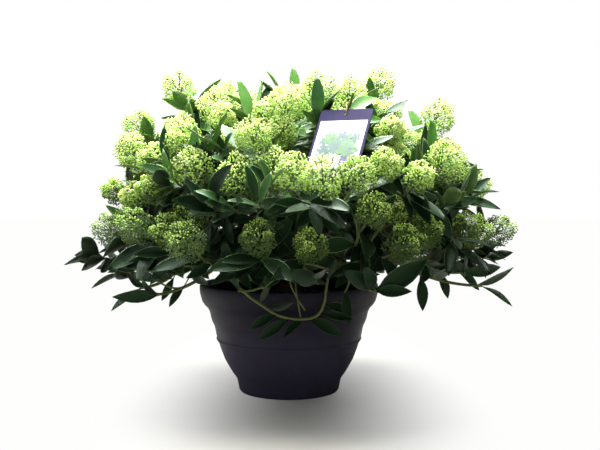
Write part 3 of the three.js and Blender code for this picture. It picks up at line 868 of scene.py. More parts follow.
def makeFinish(name, dark, middle, light, scale=40, grain=400, strength=0.2, depth=0.2, rough=(0.4, 0.6),
               coat=0, glow=0, levels=None):
    material = bpy.data.materials.new(name)
    material.use_nodes = True
    tree = material.node_tree
    blend = addNode(tree, "Group", node_tree=mottle)
    tones = {"Dark": colour(*dark), "Middle": colour(*middle), "Light": colour(*light)}
    feed(tree, blend, {**tones, "Scale": scale})
    bumps = addNode(tree, "Group", node_tree=relief)
    feed(tree, bumps, {"Scale": grain, "Strength": strength, "Depth": depth * mm})
    sheen = addNode(tree, "MapRange")
    feed(tree, sheen, {"Value": blend.outputs["Mask"], "To Min": rough[0], "To Max": rough[1]})
    fed = {"Roughness": sheen.outputs["Result"], "Base Color": blend.outputs["Color"],
           "Normal": bumps.outputs["Normal"], "Coat Weight": coat, "Coat Roughness": 0.25, **(levels or {})}
    if glow:
        fed["Subsurface Weight"] = glow
        fed["Subsurface Radius"] = (0.5, 1.0, 0.2)
        fed["Subsurface Scale"] = 1.5 * mm
    feed(tree, tree.nodes["Principled BSDF"], fed)
    return material


def softRange(tree, value, ends, results):
    return addNode(tree, "MapRange", {"Value": value, "From Min": ends[0], "From Max": ends[1],
                                      "To Min": results[0], "To Max": results[1]},
                   interpolation_type="SMOOTHSTEP").outputs["Result"]


def paintShadeOnCollar(finish, low, high, shades):  # painted light and shade: a finish that is lighter near the foot and gets darker upwards
    tree = finish.node_tree
    shader = tree.nodes["Principled BSDF"]
    given = shader.inputs["Base Color"].links[0].from_socket
    split = addNode(tree, "SeparateXYZ", {0: addNode(tree, "TexCoord").outputs["Object"]})
    shade = softRange(tree, split.outputs["Z"], (low * mm, high * mm), shades)
    scaled = addNode(tree, "VectorMath", operation="SCALE")
    feed(tree, scaled, {0: given, "Scale": shade})
    feed(tree, shader, {"Base Color": scaled.outputs["Vector"]})


def leafFinish(name, dark, middle, light, shine, tint=(1, 1, 1, 1), others=None):
    top = makeFinish("leaf " + name, dark, middle, light, scale=38, grain=520, strength=0.22, depth=0.2,
                     rough=(0.42, 0.56), coat=0.04, glow=0.2,
                     levels={"Specular IOR Level": shine, "Specular Tint": tint})
    return name, [top, *(others or (leafUnder, rimHighlight))]


def edgeFinish(name, dark, middle, light, strength, rough, coat=0):  # for a leaf's underside, or the painted highlight along its rim
    return makeFinish("leaf " + name, dark, middle, light, scale=45, grain=900, strength=strength,
                      rough=rough, coat=coat, glow=0.2)


def cardFinish(name, dark, middle, light, scale=80):
    return makeFinish("label " + name, dark, middle, light, scale=scale, strength=0.03, rough=(0.3, 0.38))


plastic = makeFinish("moulded plastic", (43, 40, 56), (52, 48, 67), (64, 61, 82), scale=16, grain=900,
                     strength=0.25, depth=0.15, rough=(0.52, 0.68), levels={"Specular IOR Level": 0.15})
# painted shade on the pot's collar, and painted light near its foot
paintShadeOnCollar(plastic, 30, 125, (1.3, 0.4))
compost = makeFinish("compost", (30, 22, 17), (52, 38, 28), (84, 66, 50), scale=60, grain=700, strength=0.9,
                     depth=0.6, rough=(0.85, 1.0))
bark = makeFinish("bark", (62, 54, 38), (98, 88, 62), (132, 124, 96), scale=70, grain=500, strength=0.7,
                  depth=0.5, rough=(0.7, 0.9))
greenBark = makeFinish("green bark", (58, 68, 28), (84, 98, 44), (114, 128, 68), scale=60, grain=600,
                       strength=0.3, depth=0.25, rough=(0.45, 0.65))
stalkGreen = makeFinish("flower stalks", (58, 86, 28), (80, 112, 40), (108, 142, 58), scale=90,
                        rough=(0.5, 0.7))
leafUnder = edgeFinish("underside", (66, 90, 44), (84, 110, 58), (108, 134, 78), 0.15, (0.55, 0.7))
# the rim is a paler band along each leaf's margin: a painted highlight
rimHighlight = edgeFinish("rim", (92, 122, 64), (120, 150, 86), (154, 178, 120), 0.1, (0.3, 0.45), coat=0.3)
deepUnder = edgeFinish("underside in shade", (22, 34, 18), (30, 46, 25), (42, 60, 34), 0.15, (0.6, 0.75))
# a dimmer painted highlight for the rims of the leaves in shade
shadedRimHighlight = edgeFinish("rim in shade", (38, 56, 32), (52, 74, 44), (74, 98, 62), 0.1, (0.35, 0.5))
# shaded to lit copies of one leaf green: painted shade for low leaves, painted light for the top, partly leaf
# age
leafTints = [
    leafFinish("deep", (8, 20, 9), (13, 30, 14), (21, 44, 21), 0.24, (0.45, 0.8, 0.45, 1),
               (deepUnder, shadedRimHighlight)),
    leafFinish("dark", (14, 36, 15), (23, 52, 23), (36, 72, 34), 0.4, (0.7, 0.95, 0.7, 1)),
    leafFinish("green", (32, 70, 26), (48, 94, 38), (68, 118, 54), 0.6),
    leafFinish("fresh", (66, 114, 42), (92, 146, 58), (120, 172, 82), 0.6),
]
# lit and shaded copies of one bud colour: painted shade in the shaded buds, painted light in the light and
# pale ones
budPlans = [
    ("shade", "shaded buds", [(58, 80, 32), (78, 104, 44), (104, 132, 60)], (0.5, 0.7), 0),
    ("green", "green buds", [(126, 164, 56), (154, 192, 74), (180, 214, 100)], (0.5, 0.7), 0),
    ("light", "light buds", [(166, 204, 84), (194, 225, 108), (216, 238, 136)], (0.45, 0.65), 0.15),
    ("pale", "pale buds", [(204, 231, 122), (228, 245, 156), (246, 253, 194)], (0.45, 0.65), 0.15),
]
budTints = [(name, makeFinish(title, *tones, scale=120, rough=rough, glow=glow))
            for name, title, tones, rough, glow in budPlans]
cardInk = makeFinish("label ink", (32, 25, 62), (41, 33, 76), (52, 43, 92), scale=30, strength=0.05,
                     rough=(0.55, 0.64), levels={"Specular IOR Level": 0.1})
cardPale = cardFinish("panel", (222, 224, 228), (236, 238, 240), (246, 247, 248), scale=30)
cardGreen = cardFinish("green", (44, 92, 46), (62, 116, 58), (92, 146, 82))
cardTeal = cardFinish("teal", (38, 74, 70), (54, 94, 86), (82, 122, 110))
cardLilac = cardFinish("lilac", (50, 44, 100), (64, 58, 120), (84, 78, 144))
twine = makeFinish("twine", (176, 152, 96), (200, 178, 120), (222, 204, 152), scale=300, grain=1500,
                   strength=0.6, rough=(0.7, 0.9))


# meshes
def newPiece(name, mesh, finishes):
    piece = addObject(name, mesh)
    for finish in finishes:
        mesh.materials.append(finish)
    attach(piece, "root")
    return piece


def shaped(create, **sizes):  # a new bmesh with one plain shape in it
    bm = bmesh.new()
    create(bm, **sizes)
    return bm


def fromBmesh(name, bm):
    mesh = bpy.data.meshes.new(name)
    bm.to_mesh(mesh)
    bm.free()
    return mesh


def evaluated(made):  # the mesh of an object with its modifiers, or of a curve
    bpy.context.view_layer.update()
    return bpy.data.meshes.new_from_object(made.evaluated_get(bpy.context.evaluated_depsgraph_get()))


def shadeSmooth(mesh, angle=None):
    mesh.polygons.foreach_set("use_smooth", np.ones(len(mesh.polygons), bool))
    if angle is not None:
        mesh.set_sharp_from_angle(angle=math.radians(angle))
    mesh.update()
    return mesh


def corners(mesh):
    found = np.empty(len(mesh.vertices) * 3)
    mesh.vertices.foreach_get("co", found)
    return found.reshape(-1, 3)


def joinedCopies(name, pattern, places):  # one mesh of many copies, with places as copies x corners x 3
    places = np.asarray(places)
    count, size = places.shape[:2]
    loops = np.empty(len(pattern.loops), np.int32)
    starts, slots = np.empty((2, len(pattern.polygons)), np.int32)
    pattern.loops.foreach_get("vertex_index", loops)
    pattern.polygons.foreach_get("loop_start", starts)
    pattern.polygons.foreach_get("material_index", slots)
    step = np.arange(count, dtype=np.int32)[:, None]
    mesh = bpy.data.meshes.new(name)
    mesh.vertices.add(count * size)
    mesh.vertices.foreach_set("co", places.ravel() * mm)
    mesh.loops.add(count * len(loops))
    mesh.loops.foreach_set("vertex_index", (loops[None] + size * step).ravel())
    mesh.polygons.add(count * len(starts))
    mesh.polygons.foreach_set("loop_start", (starts[None] + len(loops) * step).ravel())
    mesh.polygons.foreach_set("material_index", np.tile(slots, count))
    mesh.update(calc_edges=True)
    return shadeSmooth(mesh)


def newCurve(name, radius, resolution):
    curve = bpy.data.curves.new(name, "CURVE")
    curve.dimensions = "3D"
    curve.bevel_depth = radius
    curve.bevel_resolution = resolution
    return curve


def fromCurve(curve):
    made = addObject(curve.name, curve)
    mesh = evaluated(made)
    bpy.data.objects.remove(made)
    mesh.materials.clear()
    return shadeSmooth(mesh)


def tubes(name, limbs, sides=6):  # round limbs, each a list of points and their radii, as one mesh
    curve = newCurve(name, mm, (sides - 4) // 2)
    curve.use_fill_caps = True
    for points, radii in limbs:
        spline = curve.splines.new("POLY")
        spline.points.add(len(points) - 1)
        places = np.column_stack((np.asarray(points) * mm, np.ones(len(points))))
        spline.points.foreach_set("co", places.ravel())
        spline.points.foreach_set("radius", np.asarray(radii, float))
    return fromCurve(curve)


def spun(profile, steps):  # a solid of revolution about the upright axis
    bm = bmesh.new()
    verts = [bm.verts.new((r * mm, 0, z * mm)) for r, z in profile]
    edges = [bm.edges.new(pair) for pair in zip(verts, verts[1:])]
    bmesh.ops.spin(bm, geom=verts + edges, cent=(0, 0, 0), axis=(0, 0, 1), dvec=(0, 0, 0),
                   angle=2 * math.pi, steps=steps, use_merge=True, use_duplicate=False)
    bmesh.ops.remove_doubles(bm, verts=bm.verts, dist=0.02 * mm)
    bmesh.ops.recalc_face_normals(bm, faces=bm.faces)
    return bm


def cutAway(piece, tool):
    cutter = addObject("cutter", fromBmesh("cutter", tool))
    cut = piece.modifiers.new("cut", "BOOLEAN")
    cut.operation = "DIFFERENCE"
    cut.solver = "EXACT"
    cut.object = cutter
    piece.data = evaluated(piece)
    piece.modifiers.clear()
    bpy.data.objects.remove(cutter)


# pot and soil
potLook = {
    "sides": 128,
    "drainRadius": 6,
    "drainOffset": 40,
    "drainHoles": 4,
    "bead": (68, 0.8, 1.6),  # the thin raised line: height, how far it stands out, half its width
    "outside": [(60, 0), (63, 0.7), (64.6, 3), (66.4, 12), (67.6, 17), (69.6, 20), (72.2, 23.4), (76.6, 30.5),
                (83, 42), (88, 55), (91.5, 66)],
    "collar": [(95.4, 82), (96.8, 86.4), (98.8, 90.6), (100.4, 95), (101.4, 100), (102.8, 104.8), (105, 109),
               (108.8, 112.8), (111.6, 117), (113.4, 122.5), (114.6, 128), (115, 132.5), (114.9, 136.4),
               (114, 138.4), (112.4, 139)],
    "inside": [(110.4, 138.6), (109.2, 137), (108.6, 132), (106, 116), (98.5, 100), (88.5, 66), (80, 42),
               (63, 14), (56, 4.8), (0, 4.8)],
}
soilLook = {"top": 118.0, "radius": 103.8, "rings": 44, "thickness": 4, "crumbs": 900,
            "crumbSizes": (0.8, 2.2)}


def makePot():
    look = potLook
    height, out, half = look["bead"]
    bead = [(92.0, height - 1.8 * half), (92.4, height - half), (92.7 + out, height - 0.5 * half),
            (93.0 + out, height + 0.4 * half), (93.1, height + half), (93.4, height + 2 * half)]
    profile = [(0, 0)] + look["outside"] + bead + look["collar"] + look["inside"]
    pot = newPiece("pot_shell", fromBmesh("pot", spun(profile, look["sides"])), [plastic])
    drill = bmesh.new()
    offset, radius = look["drainOffset"] * mm, look["drainRadius"] * mm
    for k in range(look["drainHoles"]):
        turn = (k + 0.5) * 2 * math.pi / look["drainHoles"]
        place = Matrix.Translation((offset * math.cos(turn), offset * math.sin(turn), 0))
        bmesh.ops.create_cone(drill, cap_ends=True, segments=24, radius1=radius, radius2=radius,
                              depth=20 * mm, matrix=place)
    cutAway(pot, drill)
    shadeSmooth(pot.data, 34)
    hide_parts("pot")


def makeSoil():
    look = soilLook
    rings, radius = look["rings"], look["radius"] * mm
    bm = shaped(bmesh.ops.create_grid, x_segments=rings, y_segments=rings, size=radius)
    limit = 2 * radius ** 2
    for vert in bm.verts:  # the square grid is rounded to a disc
        x, y = vert.co.x, vert.co.y
        vert.co.x = x * math.sqrt(1 - y * y / limit)
        vert.co.y = y * math.sqrt(1 - x * x / limit)
        lumps = noise.noise(vert.co * 90) * 1.6 + noise.noise(vert.co * 300) * 0.9
        vert.co.z = (look["top"] - 1.5 + lumps) * mm
    soil = newPiece("soil_bed", shadeSmooth(fromBmesh("soil", bm)), [compost])
    depth = soil.modifiers.new("depth", "SOLIDIFY")
    depth.thickness = look["thickness"] * mm
    depth.offset = -1
    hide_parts("soil")
    rand = seeded(31)
    crumb = fromBmesh("crumb", shaped(bmesh.ops.create_icosphere, subdivisions=1, radius=1))
    shape = corners(crumb)
    places = []
    for k in range(look["crumbs"]):
        far, turn = look["radius"] * math.sqrt(rand()) * 0.97, 2 * math.pi * rand()
        size = np.array([vary(look["crumbSizes"], rand) for _ in range(3)])
        middle = np.array((far * math.cos(turn), far * math.sin(turn), look["top"] - 1 + 1.6 * rand()))
        places.append(shape * size + middle)
    newPiece("soil_crumbs", joinedCopies("crumbs", crumb, places), [compost])
    bpy.data.meshes.remove(crumb)


# trunk, stems, boughs and shoots, with how far their surface moves in and out, and at what scale
barkLook = {"stems": (0.35, 120), "trunk": (0.7, 140), "boughs": (0.18, 160), "shoots": (0.1, 300),
            "stretch": 0.35, "stemRings": 30, "boughRings": 22}


def roughen(mesh, kind):
    depth, scale = barkLook[kind]
    for vert in mesh.vertices:
        p = vert.co * scale
        p.z *= barkLook["stretch"]
        vert.co += vert.normal * (depth * mm * (noise.noise(p) + 0.5 * noise.noise(p * 2.7)))
    mesh.update()
    return mesh


def limbRadii(limb, count):  # a limb tapers, and swells to its knob at the end
    swell = np.linspace(0, 1, count) ** 9
    return np.linspace(limb["root"], limb["tip"], count) * (1 - swell) + limb["knob"] * swell


def makeStems():
    limbs = []
    count = barkLook["stemRings"]
    for turn, rise, _ in stemPlans:
        knob = hub + aim(turn, rise) * stemLimb["knobReach"]
        rootAim = aim(turn, 90 if rise == 90 else 50)
        root = up * trunkStem["domeCentre"] + rootAim * (trunkStem["radius"] - 4)
        end = knob + aim(turn, rise) * 5
        curve = Bend(root, root + rootAim * (0.45 * math.dist(root, end)), end)
        wave = seeded(400 + turn)
        points = curve.along(np.linspace(0, 1, count))
        for k in range(3, count - 3):
            points[k] += np.array([wave() - 0.5 for _ in range(3)]) * 0.5
        limbs.append((points, limbRadii(stemLimb, count)))
    stemPiece = newPiece("stem_bark", roughen(tubes("stems", limbs, 14), "stems"), [bark])
    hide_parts(*[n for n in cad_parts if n.startswith("stem_")])


def makeTrunk():
    bottom = soilLook["top"] - 1.2
    flare, radius, centre = trunkStem["flare"], trunkStem["radius"], trunkStem["domeCentre"]
    rings = [(flare + 1, bottom), (flare * 0.86, bottom + 2), (flare * 0.72, bottom + 5),
             (radius + 2, centre - 5)]
    for turn in range(0, 90, 15):
        turn = math.radians(turn)
        rings.append((radius * math.cos(turn), centre + radius * math.sin(turn)))
    bm = spun(rings + [(0, centre + radius)], 60)
    for vert in bm.verts:
        low = min(max((centre * mm - vert.co.z) / ((centre - bottom) * mm), 0), 1)
        lobe = math.cos(trunkStem["lobes"] * math.atan2(vert.co.y, vert.co.x))
        spread = 1 + trunkStem["lobeDepth"] * low * lobe
        vert.co.x *= spread
        vert.co.y *= spread
    bm.normal_update()
    mesh = roughen(shadeSmooth(fromBmesh("trunk", bm)), "trunk")
    trunkPiece = newPiece("trunk_bark", mesh, [bark])
    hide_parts("trunk")


def makeBoughs():
    count = barkLook["boughRings"]
    limbs = [(mass["bough"].along(np.linspace(0, 1, count)), limbRadii(boughLimb, count)) for mass in masses]
    piece = newPiece("bough_bark", roughen(tubes("boughs", limbs, 10), "boughs"), [greenBark])
    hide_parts(*[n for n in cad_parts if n.startswith("bough_")])


def endOf(shoot):  # a shoot without a head ends at its outermost leaf
    if shoot["kind"] in ("head", "label"):
        return 1
    backs = [leaf["back"] for leaf in allLeaves if leaf["shoot"] is shoot]
    return 1 - (min(backs) - 1.5) / shoot["curve"].length if backs else 0


def makeShoots():
    plans = [(shoot, 14, (twig["radius"], twig["tip"])) for _, shoot in allShoots]
    plans += [(shoot, 9, (1.5, 1.1)) for shoot in sprays + [side for _, side in sideShoots]]
    limbs = []
    for shoot, count, radii in plans:
        end = endOf(shoot)
        if end > 0.1:
            limbs.append((shoot["curve"].along(np.linspace(0, end, count)), np.linspace(*radii, count)))
    mesh = roughen(tubes("shoots", limbs + trailingLimbs), "shoots")
    newPiece("young_shoots", mesh, [greenBark])


leafLook = {
    "steps": 8,
    "across": (-1, -0.935, 0, 0.935, 1),
    "petiole": 0.07,
    "petioleWidth": 0.018,
    "halfWidth": 0.158,
    "scale": 0.88,
    "broad": (0.88, 0.24),
    "roll": 36,  # degrees to either side
    "twist": 34,
    "fold": (0.16, 0.3),
    "wave": 0.9,
    "sway": 0.07,
    "thickness": 0.5,
    "shares": (0.36, 0.72, 0.92),  # up to each of these parts of all leaves is a darker tint
    "litAndYoungerUpwards": 0.0075,  # painted light and shade, partly leaf age: lighter tints for each millimetre above this height
    "from": 258,
}


def leafWidth(s):  # half the width at a part of the length, as a part of the length
    look = leafLook
    blade = max(0.0, (s - look["petiole"]) / (1 - look["petiole"]))
    swell = math.sin(math.pi * blade ** 0.92) ** 0.78 * (1 - 0.25 * blade ** 5)
    return max(look["petioleWidth"] * (1 - s), look["halfWidth"] * swell)


def makeLeafPattern():  # x runs along the leaf, y is its half width, z its thickness in millimetres
    look = leafLook
    columns = len(look["across"]) - 1
    bm = shaped(bmesh.ops.create_grid, x_segments=look["steps"], y_segments=columns, size=0.5)
    # the outer columns take the third finish, the painted highlight along the margin
    for face in bm.faces:
        face.material_index = 2 if abs(face.calc_center_median().y) > 0.5 - 1 / columns else 0
    for vert in bm.verts:
        s = vert.co.x + 0.5
        w = look["across"][round((vert.co.y + 0.5) * columns)]
        vert.co = (s, w * leafWidth(s), 0)
    lower = bmesh.ops.duplicate(bm, geom=list(bm.faces))["geom"]
    below = [g for g in lower if isinstance(g, bmesh.types.BMFace)]
    for face in below:
        face.material_index = 1
    bmesh.ops.reverse_faces(bm, faces=below)
    for vert in {v for face in below for v in face.verts}:
        inside = abs(vert.co.y) < leafWidth(vert.co.x) - 1e-6 and 0.01 < vert.co.x < 0.99
        vert.co.z = -look["thickness"] if inside else 0
    bmesh.ops.remove_doubles(bm, verts=bm.verts, dist=1e-5)
    bmesh.ops.dissolve_degenerate(bm, dist=1e-5, edges=bm.edges)
    return fromBmesh("leaf pattern", bm)


def layLeaf(pattern, leaf, rand):
    look = leafLook
    s, y, z = pattern.T
    length = leaf["length"] * look["scale"]
    broad = length * vary(look["broad"], rand)
    roll = math.radians(look["roll"]) * (2 * rand() - 1) * leaf.get("rolls", 1)
    twist = roll + math.radians(look["twist"]) * (rand() - 0.5) * s
    across = np.outer(np.cos(twist), leaf["side"]) + np.outer(np.sin(twist), leaf["normal"])
    over = np.outer(np.cos(twist), leaf["normal"]) - np.outer(np.sin(twist), leaf["side"])
    width = y * broad
    fold = vary(look["fold"], rand)
    wave = look["wave"] * (rand() - 0.5)
    wave = wave * np.sin(s * math.pi * (2 + 2 * rand()) + 6 * rand()) * np.abs(y) / look["halfWidth"]
    height = z + fold * np.abs(width) + wave
    sway = length * look["sway"] * (rand() - 0.5) * np.sin(math.pi * s)
    return (leaf["seat"] + np.outer(s * length, leaf["points"]) + across * (width + sway)[:, None]
            + over * height[:, None] - np.outer(leaf["arch"] * length * s ** 2, leaf["normal"]))


def makeLeaves():
    pattern = makeLeafPattern()
    shape = corners(pattern)
    rand = seeded(77)
    dealt = [[] for _ in leafTints]
    for leaf in allLeaves:
        # painted light and shade, partly leaf age: higher leaves are dealt lighter tints
        chance = rand() + leafLook["litAndYoungerUpwards"] * (leaf["seat"][2] - leafLook["from"])
        pick = leaf.get("tint", sum(chance > share for share in leafLook["shares"]))
        dealt[pick].append(layLeaf(shape, leaf, rand))
    pieces = [newPiece("leaves_" + name, joinedCopies(name, pattern, places), finishes)
              for (name, finishes), places in zip(leafTints, dealt)]
    bpy.data.meshes.remove(pattern)
    return pieces


# flower heads of rounded clusters: how many, the buds in each, the radius of a bud, and the head's scale
headPlans = {"high": (20, 33, 1.3, 1.0), "mid": (21, 33, 1.26, 1.0), "low": (21, 29, 1.08, 0.88)}
budLook = {
    "lumpRadius": 0.345,  # of the head's radius
    "stretch": 1.1,
    "spread": 104,  # degrees from the middle of a cluster to its last buds
    "stalks": 6,
    "level": 225,  # painted light and shade: heads above this get paler tints, and those below it deeper ones, for each 150 mm
    "paler": 0.7,
    "deeper": 1.7,
    "parts": 2,  # pieces that the buds of one tint are shared among
}


def domeProfile(part):  # the head's radius at a part of its height, as a part of its own
    return math.sqrt(max(0.0, 1 - (max(part - 0.42, 0) / 0.62) ** 2.4)) * min(1.0, 0.5 + 1.25 * part)


def laySolids(shape, middles, directions, radii, lengths):
    side = np.cross(up, directions)
    size = np.linalg.norm(side, axis=1, keepdims=True)
    side = np.where(size > 1e-4, side / np.maximum(size, 1e-4), (1.0, 0.0, 0.0))
    over = np.cross(directions, side)
    x, y, z = shape.T[:, None, :, None]
    across = (x * side[:, None] + y * over[:, None]) * radii[:, None, None]
    return middles[:, None] + across + z * directions[:, None] * lengths[:, None, None]


def growHead(shoot, rand):
    look, tip, axis = budLook, shoot["tip"], shoot["axis"]
    lumps, perLump, budRadius, scale = headPlans[shoot["tier"]]
    scale *= shoot["size"]
    radius, height = scale * head["radius"], scale * head["height"]
    side, over = squareTo(axis)
    buds, stalks, clusters = [], [], []
    for k in range(lumps):
        part = 0.1 + 0.82 * ((k + 0.5) / lumps) ** 0.8 + 0.06 * (rand() - 0.5)
        swing = math.radians(goldenTurn * k + 40 * rand())
        outward = side * math.cos(swing) + over * math.sin(swing)
        size = look["lumpRadius"] * radius * (0.72 + 0.56 * rand())
        reach = max(0.0, radius * domeProfile(part) - 0.75 * size) * (0.8 + 0.3 * rand())
        middle = tip + axis * (part * height - 0.25 * size) + outward * reach
        faces = unit(outward * (0.3 + reach / radius) + axis * (0.25 + 1.3 * part * part))
        clusters.append((*middle, 0.78 * size))
        stalks.append((tip + axis * (height * part * 0.45), middle, 0.75))
        for b in range(perLump):
            lean = look["spread"] * math.sqrt((b + 0.5) / perLump)
            way = leanFrom(faces, lean + 10 * (rand() - 0.5), goldenTurn * b + 24 * rand())
            place = middle + way * size * (0.8 + 0.32 * rand())
            # painted light and shade: buds high in the head and facing up get lighter tints
            tone = part + 0.75 * (way.dot(up) * 0.5 + 0.5) + 0.25 * (rand() - 0.5)
            buds.append((place, way, budRadius * (0.8 + 0.34 * rand()), tone))
        for b in range(look["stalks"]):
            way = leanFrom(faces, 80 * rand(), 360 * rand())
            stalks.append((middle, middle + way * size * 0.85, 0.4))
    clusters = np.array(clusters)
    sunk = (gapsTo(np.array([bud[0] for bud in buds]), clusters[:, :3]) < clusters[:, 3]).any(axis=1)
    return [bud for bud, hidden in zip(buds, sunk) if not hidden], stalks


def makeHeads():
    look = budLook
    bud = fromBmesh("bud", shaped(bmesh.ops.create_uvsphere, u_segments=5, v_segments=2, radius=1))
    cone = shaped(bmesh.ops.create_cone, cap_ends=True, segments=3, radius1=1, radius2=0.7, depth=1)
    stalk = fromBmesh("stalk", cone)
    buds, stalks = [], []
    for number, shoot in enumerate(heads):
        rand = seeded(12000 + number)
        # painted light and shade: higher heads get lighter bud tints, lower ones darker, with a random part
        over = (shoot["tip"][2] - look["level"]) / 150
        shift = 0.35 * (rand() - 0.5) + (look["paler"] if over > 0 else look["deeper"]) * over
        ownBuds, ownStalks = growHead(shoot, rand)
        buds += [(place, way, size, tone + shift) for place, way, size, tone in ownBuds]
        stalks += ownStalks
    places, ways, sizes, tones = (np.array(column) for column in zip(*buds))
    ranks = np.argsort(np.argsort(tones)) * len(budTints) // len(tones)
    for k, (name, finish) in enumerate(budTints):
        for part in range(look["parts"]):  # so that no piece is too large
            some = np.flatnonzero(ranks == k)[part::look["parts"]]
            radii = sizes[some]
            solids = laySolids(corners(bud), places[some], ways[some], radii, radii * look["stretch"])
            title = f"buds_{name}_{part + 1}"
            newPiece(title, joinedCopies(title, bud, solids), [finish])
    roots, tips, thick = (np.array(column) for column in zip(*stalks))
    lengths = np.linalg.norm(tips - roots, axis=1)
    solids = laySolids(corners(stalk), (roots + tips) / 2, (tips - roots) / lengths[:, None], thick, lengths)
    newPiece("head_stalks", joinedCopies("stalks", stalk, solids), [stalkGreen])
    bpy.data.meshes.remove(bud)
    bpy.data.meshes.remove(stalk)
    print("made", len(buds), "buds and", len(stalks), "stalks")


printLook = {
    "border": 3.2,
    "top": 16,  # from the card's top edge down to the panel
    "panel": 66,
    "lift": 0.06,
    "hedge": 30,  # the sprigs' mean height over the panel's lower edge
    "sprigs": 34,
    "petals": (0, 72, 144, 216, 288),
    "block": (22, 17),  # the plain corner's width and height
}


def toLabel(bm):  # from the card's own plane, in millimetres, to its place
    columns = np.array([labelFrame[key] * mm for key in ("across", "upward", "normal", "hole")])
    bmesh.ops.transform(bm, matrix=Matrix([*columns.T.tolist(), (0, 0, 0, 1)]), verts=bm.verts)


def flatShape(bm, points, height, slot):
    face = bm.faces.new([bm.verts.new((x, y, height)) for x, y in points])
    face.material_index = slot
    if face.normal.z < 0:
        face.normal_flip()


def flatBox(bm, left, right, low, high, height, slot):
    flatShape(bm, [(left, low), (right, low), (right, high), (left, high)], height, slot)


def petal(x, y, length, width, turn):
    turn = math.radians(turn)
    outline = []
    for k in range(16):
        a = 2 * math.pi * k / 16
        along = length * (0.5 - 0.5 * math.cos(a))
        aside = width * math.sin(a) * (0.7 + 0.3 * math.sin(a) ** 2)
        outline.append((x + along * math.cos(turn) - aside * math.sin(turn),
                        y + along * math.sin(turn) + aside * math.cos(turn)))
    return outline


def makeCard():
    middle = card["holeFromTop"] - card["length"] / 2
    size = Matrix.Diagonal((card["width"], card["length"], card["thickness"], 1))
    bm = shaped(bmesh.ops.create_cube, size=1, matrix=Matrix.Translation((0, middle, 0)) @ size)
    upright = [e for e in bm.edges if abs(e.verts[0].co.z - e.verts[1].co.z) > 0.1]
    bmesh.ops.bevel(bm, geom=upright, offset=card["corner"], segments=6, profile=0.5, affect="EDGES",
                    material=-1)
    toLabel(bm)
    board = newPiece("label_board", fromBmesh("board", bm), [cardInk])
    radius = card["holeRadius"]
    punch = shaped(bmesh.ops.create_cone, cap_ends=True, segments=24, radius1=radius, radius2=radius, depth=6)
    toLabel(punch)
    cutAway(board, punch)
    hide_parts("label_card")


def makePrint():
    look = printLook
    art = bmesh.new()
    half = card["width"] / 2 - look["border"]
    high = card["holeFromTop"] - look["top"]
    low = high - look["panel"]
    face = card["thickness"] / 2
    wide, tall = look["block"]
    flatBox(art, -half, half, low, high, face + look["lift"], 0)
    flatBox(art, half - wide, half, low, low + tall, face + 2 * look["lift"], 3)
    rand = seeded(55)
    for k in range(look["sprigs"]):
        x = (2 * rand() - 1) * (half - 9)
        y = low + look["hedge"] + 13 * (2 * rand() - 1) + 7 * math.cos(2.4 * x / half)
        turn, size = 360 * rand(), 5.5 + 4 * rand()
        for lean in look["petals"]:
            outline = petal(x, y, size, size * 0.26, turn + lean)
            inside = [(min(max(px, 1 - half), half - 1), min(max(py, low + 1), high - 1))
                      for px, py in outline]
            flatShape(art, inside, face + look["lift"] * (3 + 0.2 * k), 1 if k % 2 else 2)
    toLabel(art)
    newPiece("label_print", fromBmesh("print", art), [cardPale, cardGreen, cardTeal, cardLilac])


def makeTie():
    held, hole, along = labelFrame["held"], labelFrame["hole"], labelFrame["aim"]
    upward, normal = labelFrame["upward"], labelFrame["normal"]
    over = unit(upward - along * upward.dot(along))
    beside = np.cross(along, over)
    beside = beside if beside.dot(normal) > 0 else -beside
    around = twig["tip"] + tie["radius"] + tie["clearance"]
    rest = card["holeRadius"] - tie["radius"] - 0.3
    edge, off = card["holeFromTop"] + 1, normal * tie["halfWidth"]
    stops = [
        held + over * around,
        held + beside * around * 1.1,
        hole + upward * edge + off,
        hole + upward * (rest + 1) + off * 0.7,
        hole + upward * rest,
        hole + upward * (rest + 1) - off * 0.7,
        hole + upward * edge - off,
        held - beside * around * 1.1,
    ]
    curve = newCurve("twine", tie["radius"] * mm * 0.95, 3)
    curve.resolution_u = 8
    spline = curve.splines.new("NURBS")
    spline.points.add(len(stops) - 1)
    for point, stop in zip(spline.points, stops):
        point.co = (*(stop * mm), 1)
    spline.use_cyclic_u = True
    spline.order_u = 3
    piece = newPiece("label_twine", fromCurve(curve), [twine])
    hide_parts("label_tie")


makePot()
makeSoil()
print("made the pot and soil")
makeStems()
makeTrunk()
makeBoughs()
makeShoots()
print("made the wood and shoots")
leafPieces = makeLeaves()
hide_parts(*[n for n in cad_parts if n.startswith("foliage_")])
print("made the leaves")
makeHeads()
makeCard()
makePrint()
makeTie()
print("made the heads and label")

# floor and light
lightPlan = {
    "sky": 0.1,  # the light from all around
    "backdrop": 1.0,  # how bright the sky is to the camera
    "floorGlow": (0.06, 1.0),  # how much of the floor is its own light, in the pool of shade and out of it
    "floorPool": {"reach": (0.0, 0.8), "stretch": (3.4, 1.0, 1.0), "middle": (-0.012, 0.08, 0.0)},
    "aim": (0, 0, 0.25),
    "lamps": {
        "top": {"place": (-0.12, 0.2, 1.2), "size": 1.0, "watts": 88},
        "back": {"place": (0.5, 1.7, 0.9), "size": 1.3, "watts": 10},
        "left": {"place": (-1.5, 0.3, 0.9), "size": 1.0, "watts": 9},
        "front": {"place": (-0.2, -1.5, 0.08), "size": 0.8, "watts": 2.6},
    },
}


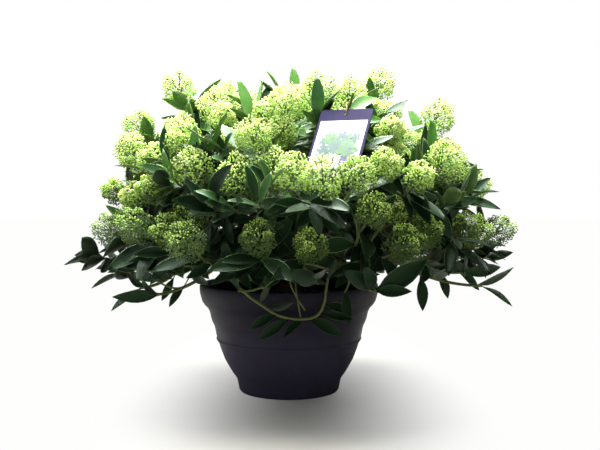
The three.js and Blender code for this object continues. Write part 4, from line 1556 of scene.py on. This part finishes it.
def makeFloor():
    square = shaped(bmesh.ops.create_grid, x_segments=1, y_segments=1, size=6)
    floor = addObject("floor", fromBmesh("floor", square))
    finish = makeFinish("floor", (164, 162, 152), (172, 170, 160), (180, 178, 168), scale=3, grain=60,
                        strength=0.05, rough=(0.7, 0.85))
    tree, pool = finish.node_tree, lightPlan["floorPool"]
    place = addNode(tree, "TexCoord").outputs["Object"]
    moved = addNode(tree, "VectorMath", {0: place, 1: pool["middle"]})
    stretched = addNode(tree, "VectorMath", {0: moved.outputs[0], 1: pool["stretch"]}, operation="MULTIPLY")
    far = addNode(tree, "VectorMath", {0: stretched.outputs[0]}, operation="LENGTH")
    fade = softRange(tree, far.outputs["Value"], pool["reach"], lightPlan["floorGlow"])
    path = addNode(tree, "LightPath").outputs["Is Camera Ray"]
    share = addNode(tree, "Math", {0: path, 1: fade}, operation="MULTIPLY")
    glow = addNode(tree, "Emission", {"Color": colour(254, 254, 253)})
    both = addNode(tree, "MixShader", {0: share.outputs[0], 1: tree.nodes["Principled BSDF"].outputs[0],
                                       2: glow.outputs[0]})
    feed(tree, tree.nodes["Material Output"], {"Surface": both.outputs[0]})
    floor.data.materials.append(finish)


def makeSky():
    world = bpy.context.scene.world or bpy.data.worlds.new("sky")
    bpy.context.scene.world = world
    world.use_nodes = True
    tree = world.node_tree
    sky = tree.nodes["Background"]
    feed(tree, sky, {"Color": (0.97, 0.98, 1.0, 1), "Strength": lightPlan["sky"]})
    backdrop = addNode(tree, "Background", {"Color": (1, 1, 1, 1), "Strength": lightPlan["backdrop"]})
    path = addNode(tree, "LightPath").outputs["Is Camera Ray"]
    both = addNode(tree, "MixShader", {0: path, 1: sky.outputs[0], 2: backdrop.outputs[0]})
    feed(tree, tree.nodes["World Output"], {"Surface": both.outputs[0]})


def makeLamps():
    for name, plan in lightPlan["lamps"].items():
        data = bpy.data.lights.new(name, "AREA")
        data.size = plan["size"]
        data.energy = plan["watts"]
        lamp = addObject(name, data)
        lamp.location = plan["place"]
        lamp.rotation_mode = "QUATERNION"
        lamp.rotation_quaternion = (Vector(lightPlan["aim"]) - lamp.location).to_track_quat("-Z", "Y")


makeFloor()
makeSky()
makeLamps()
bpy.context.scene.view_settings.view_transform = "Standard"
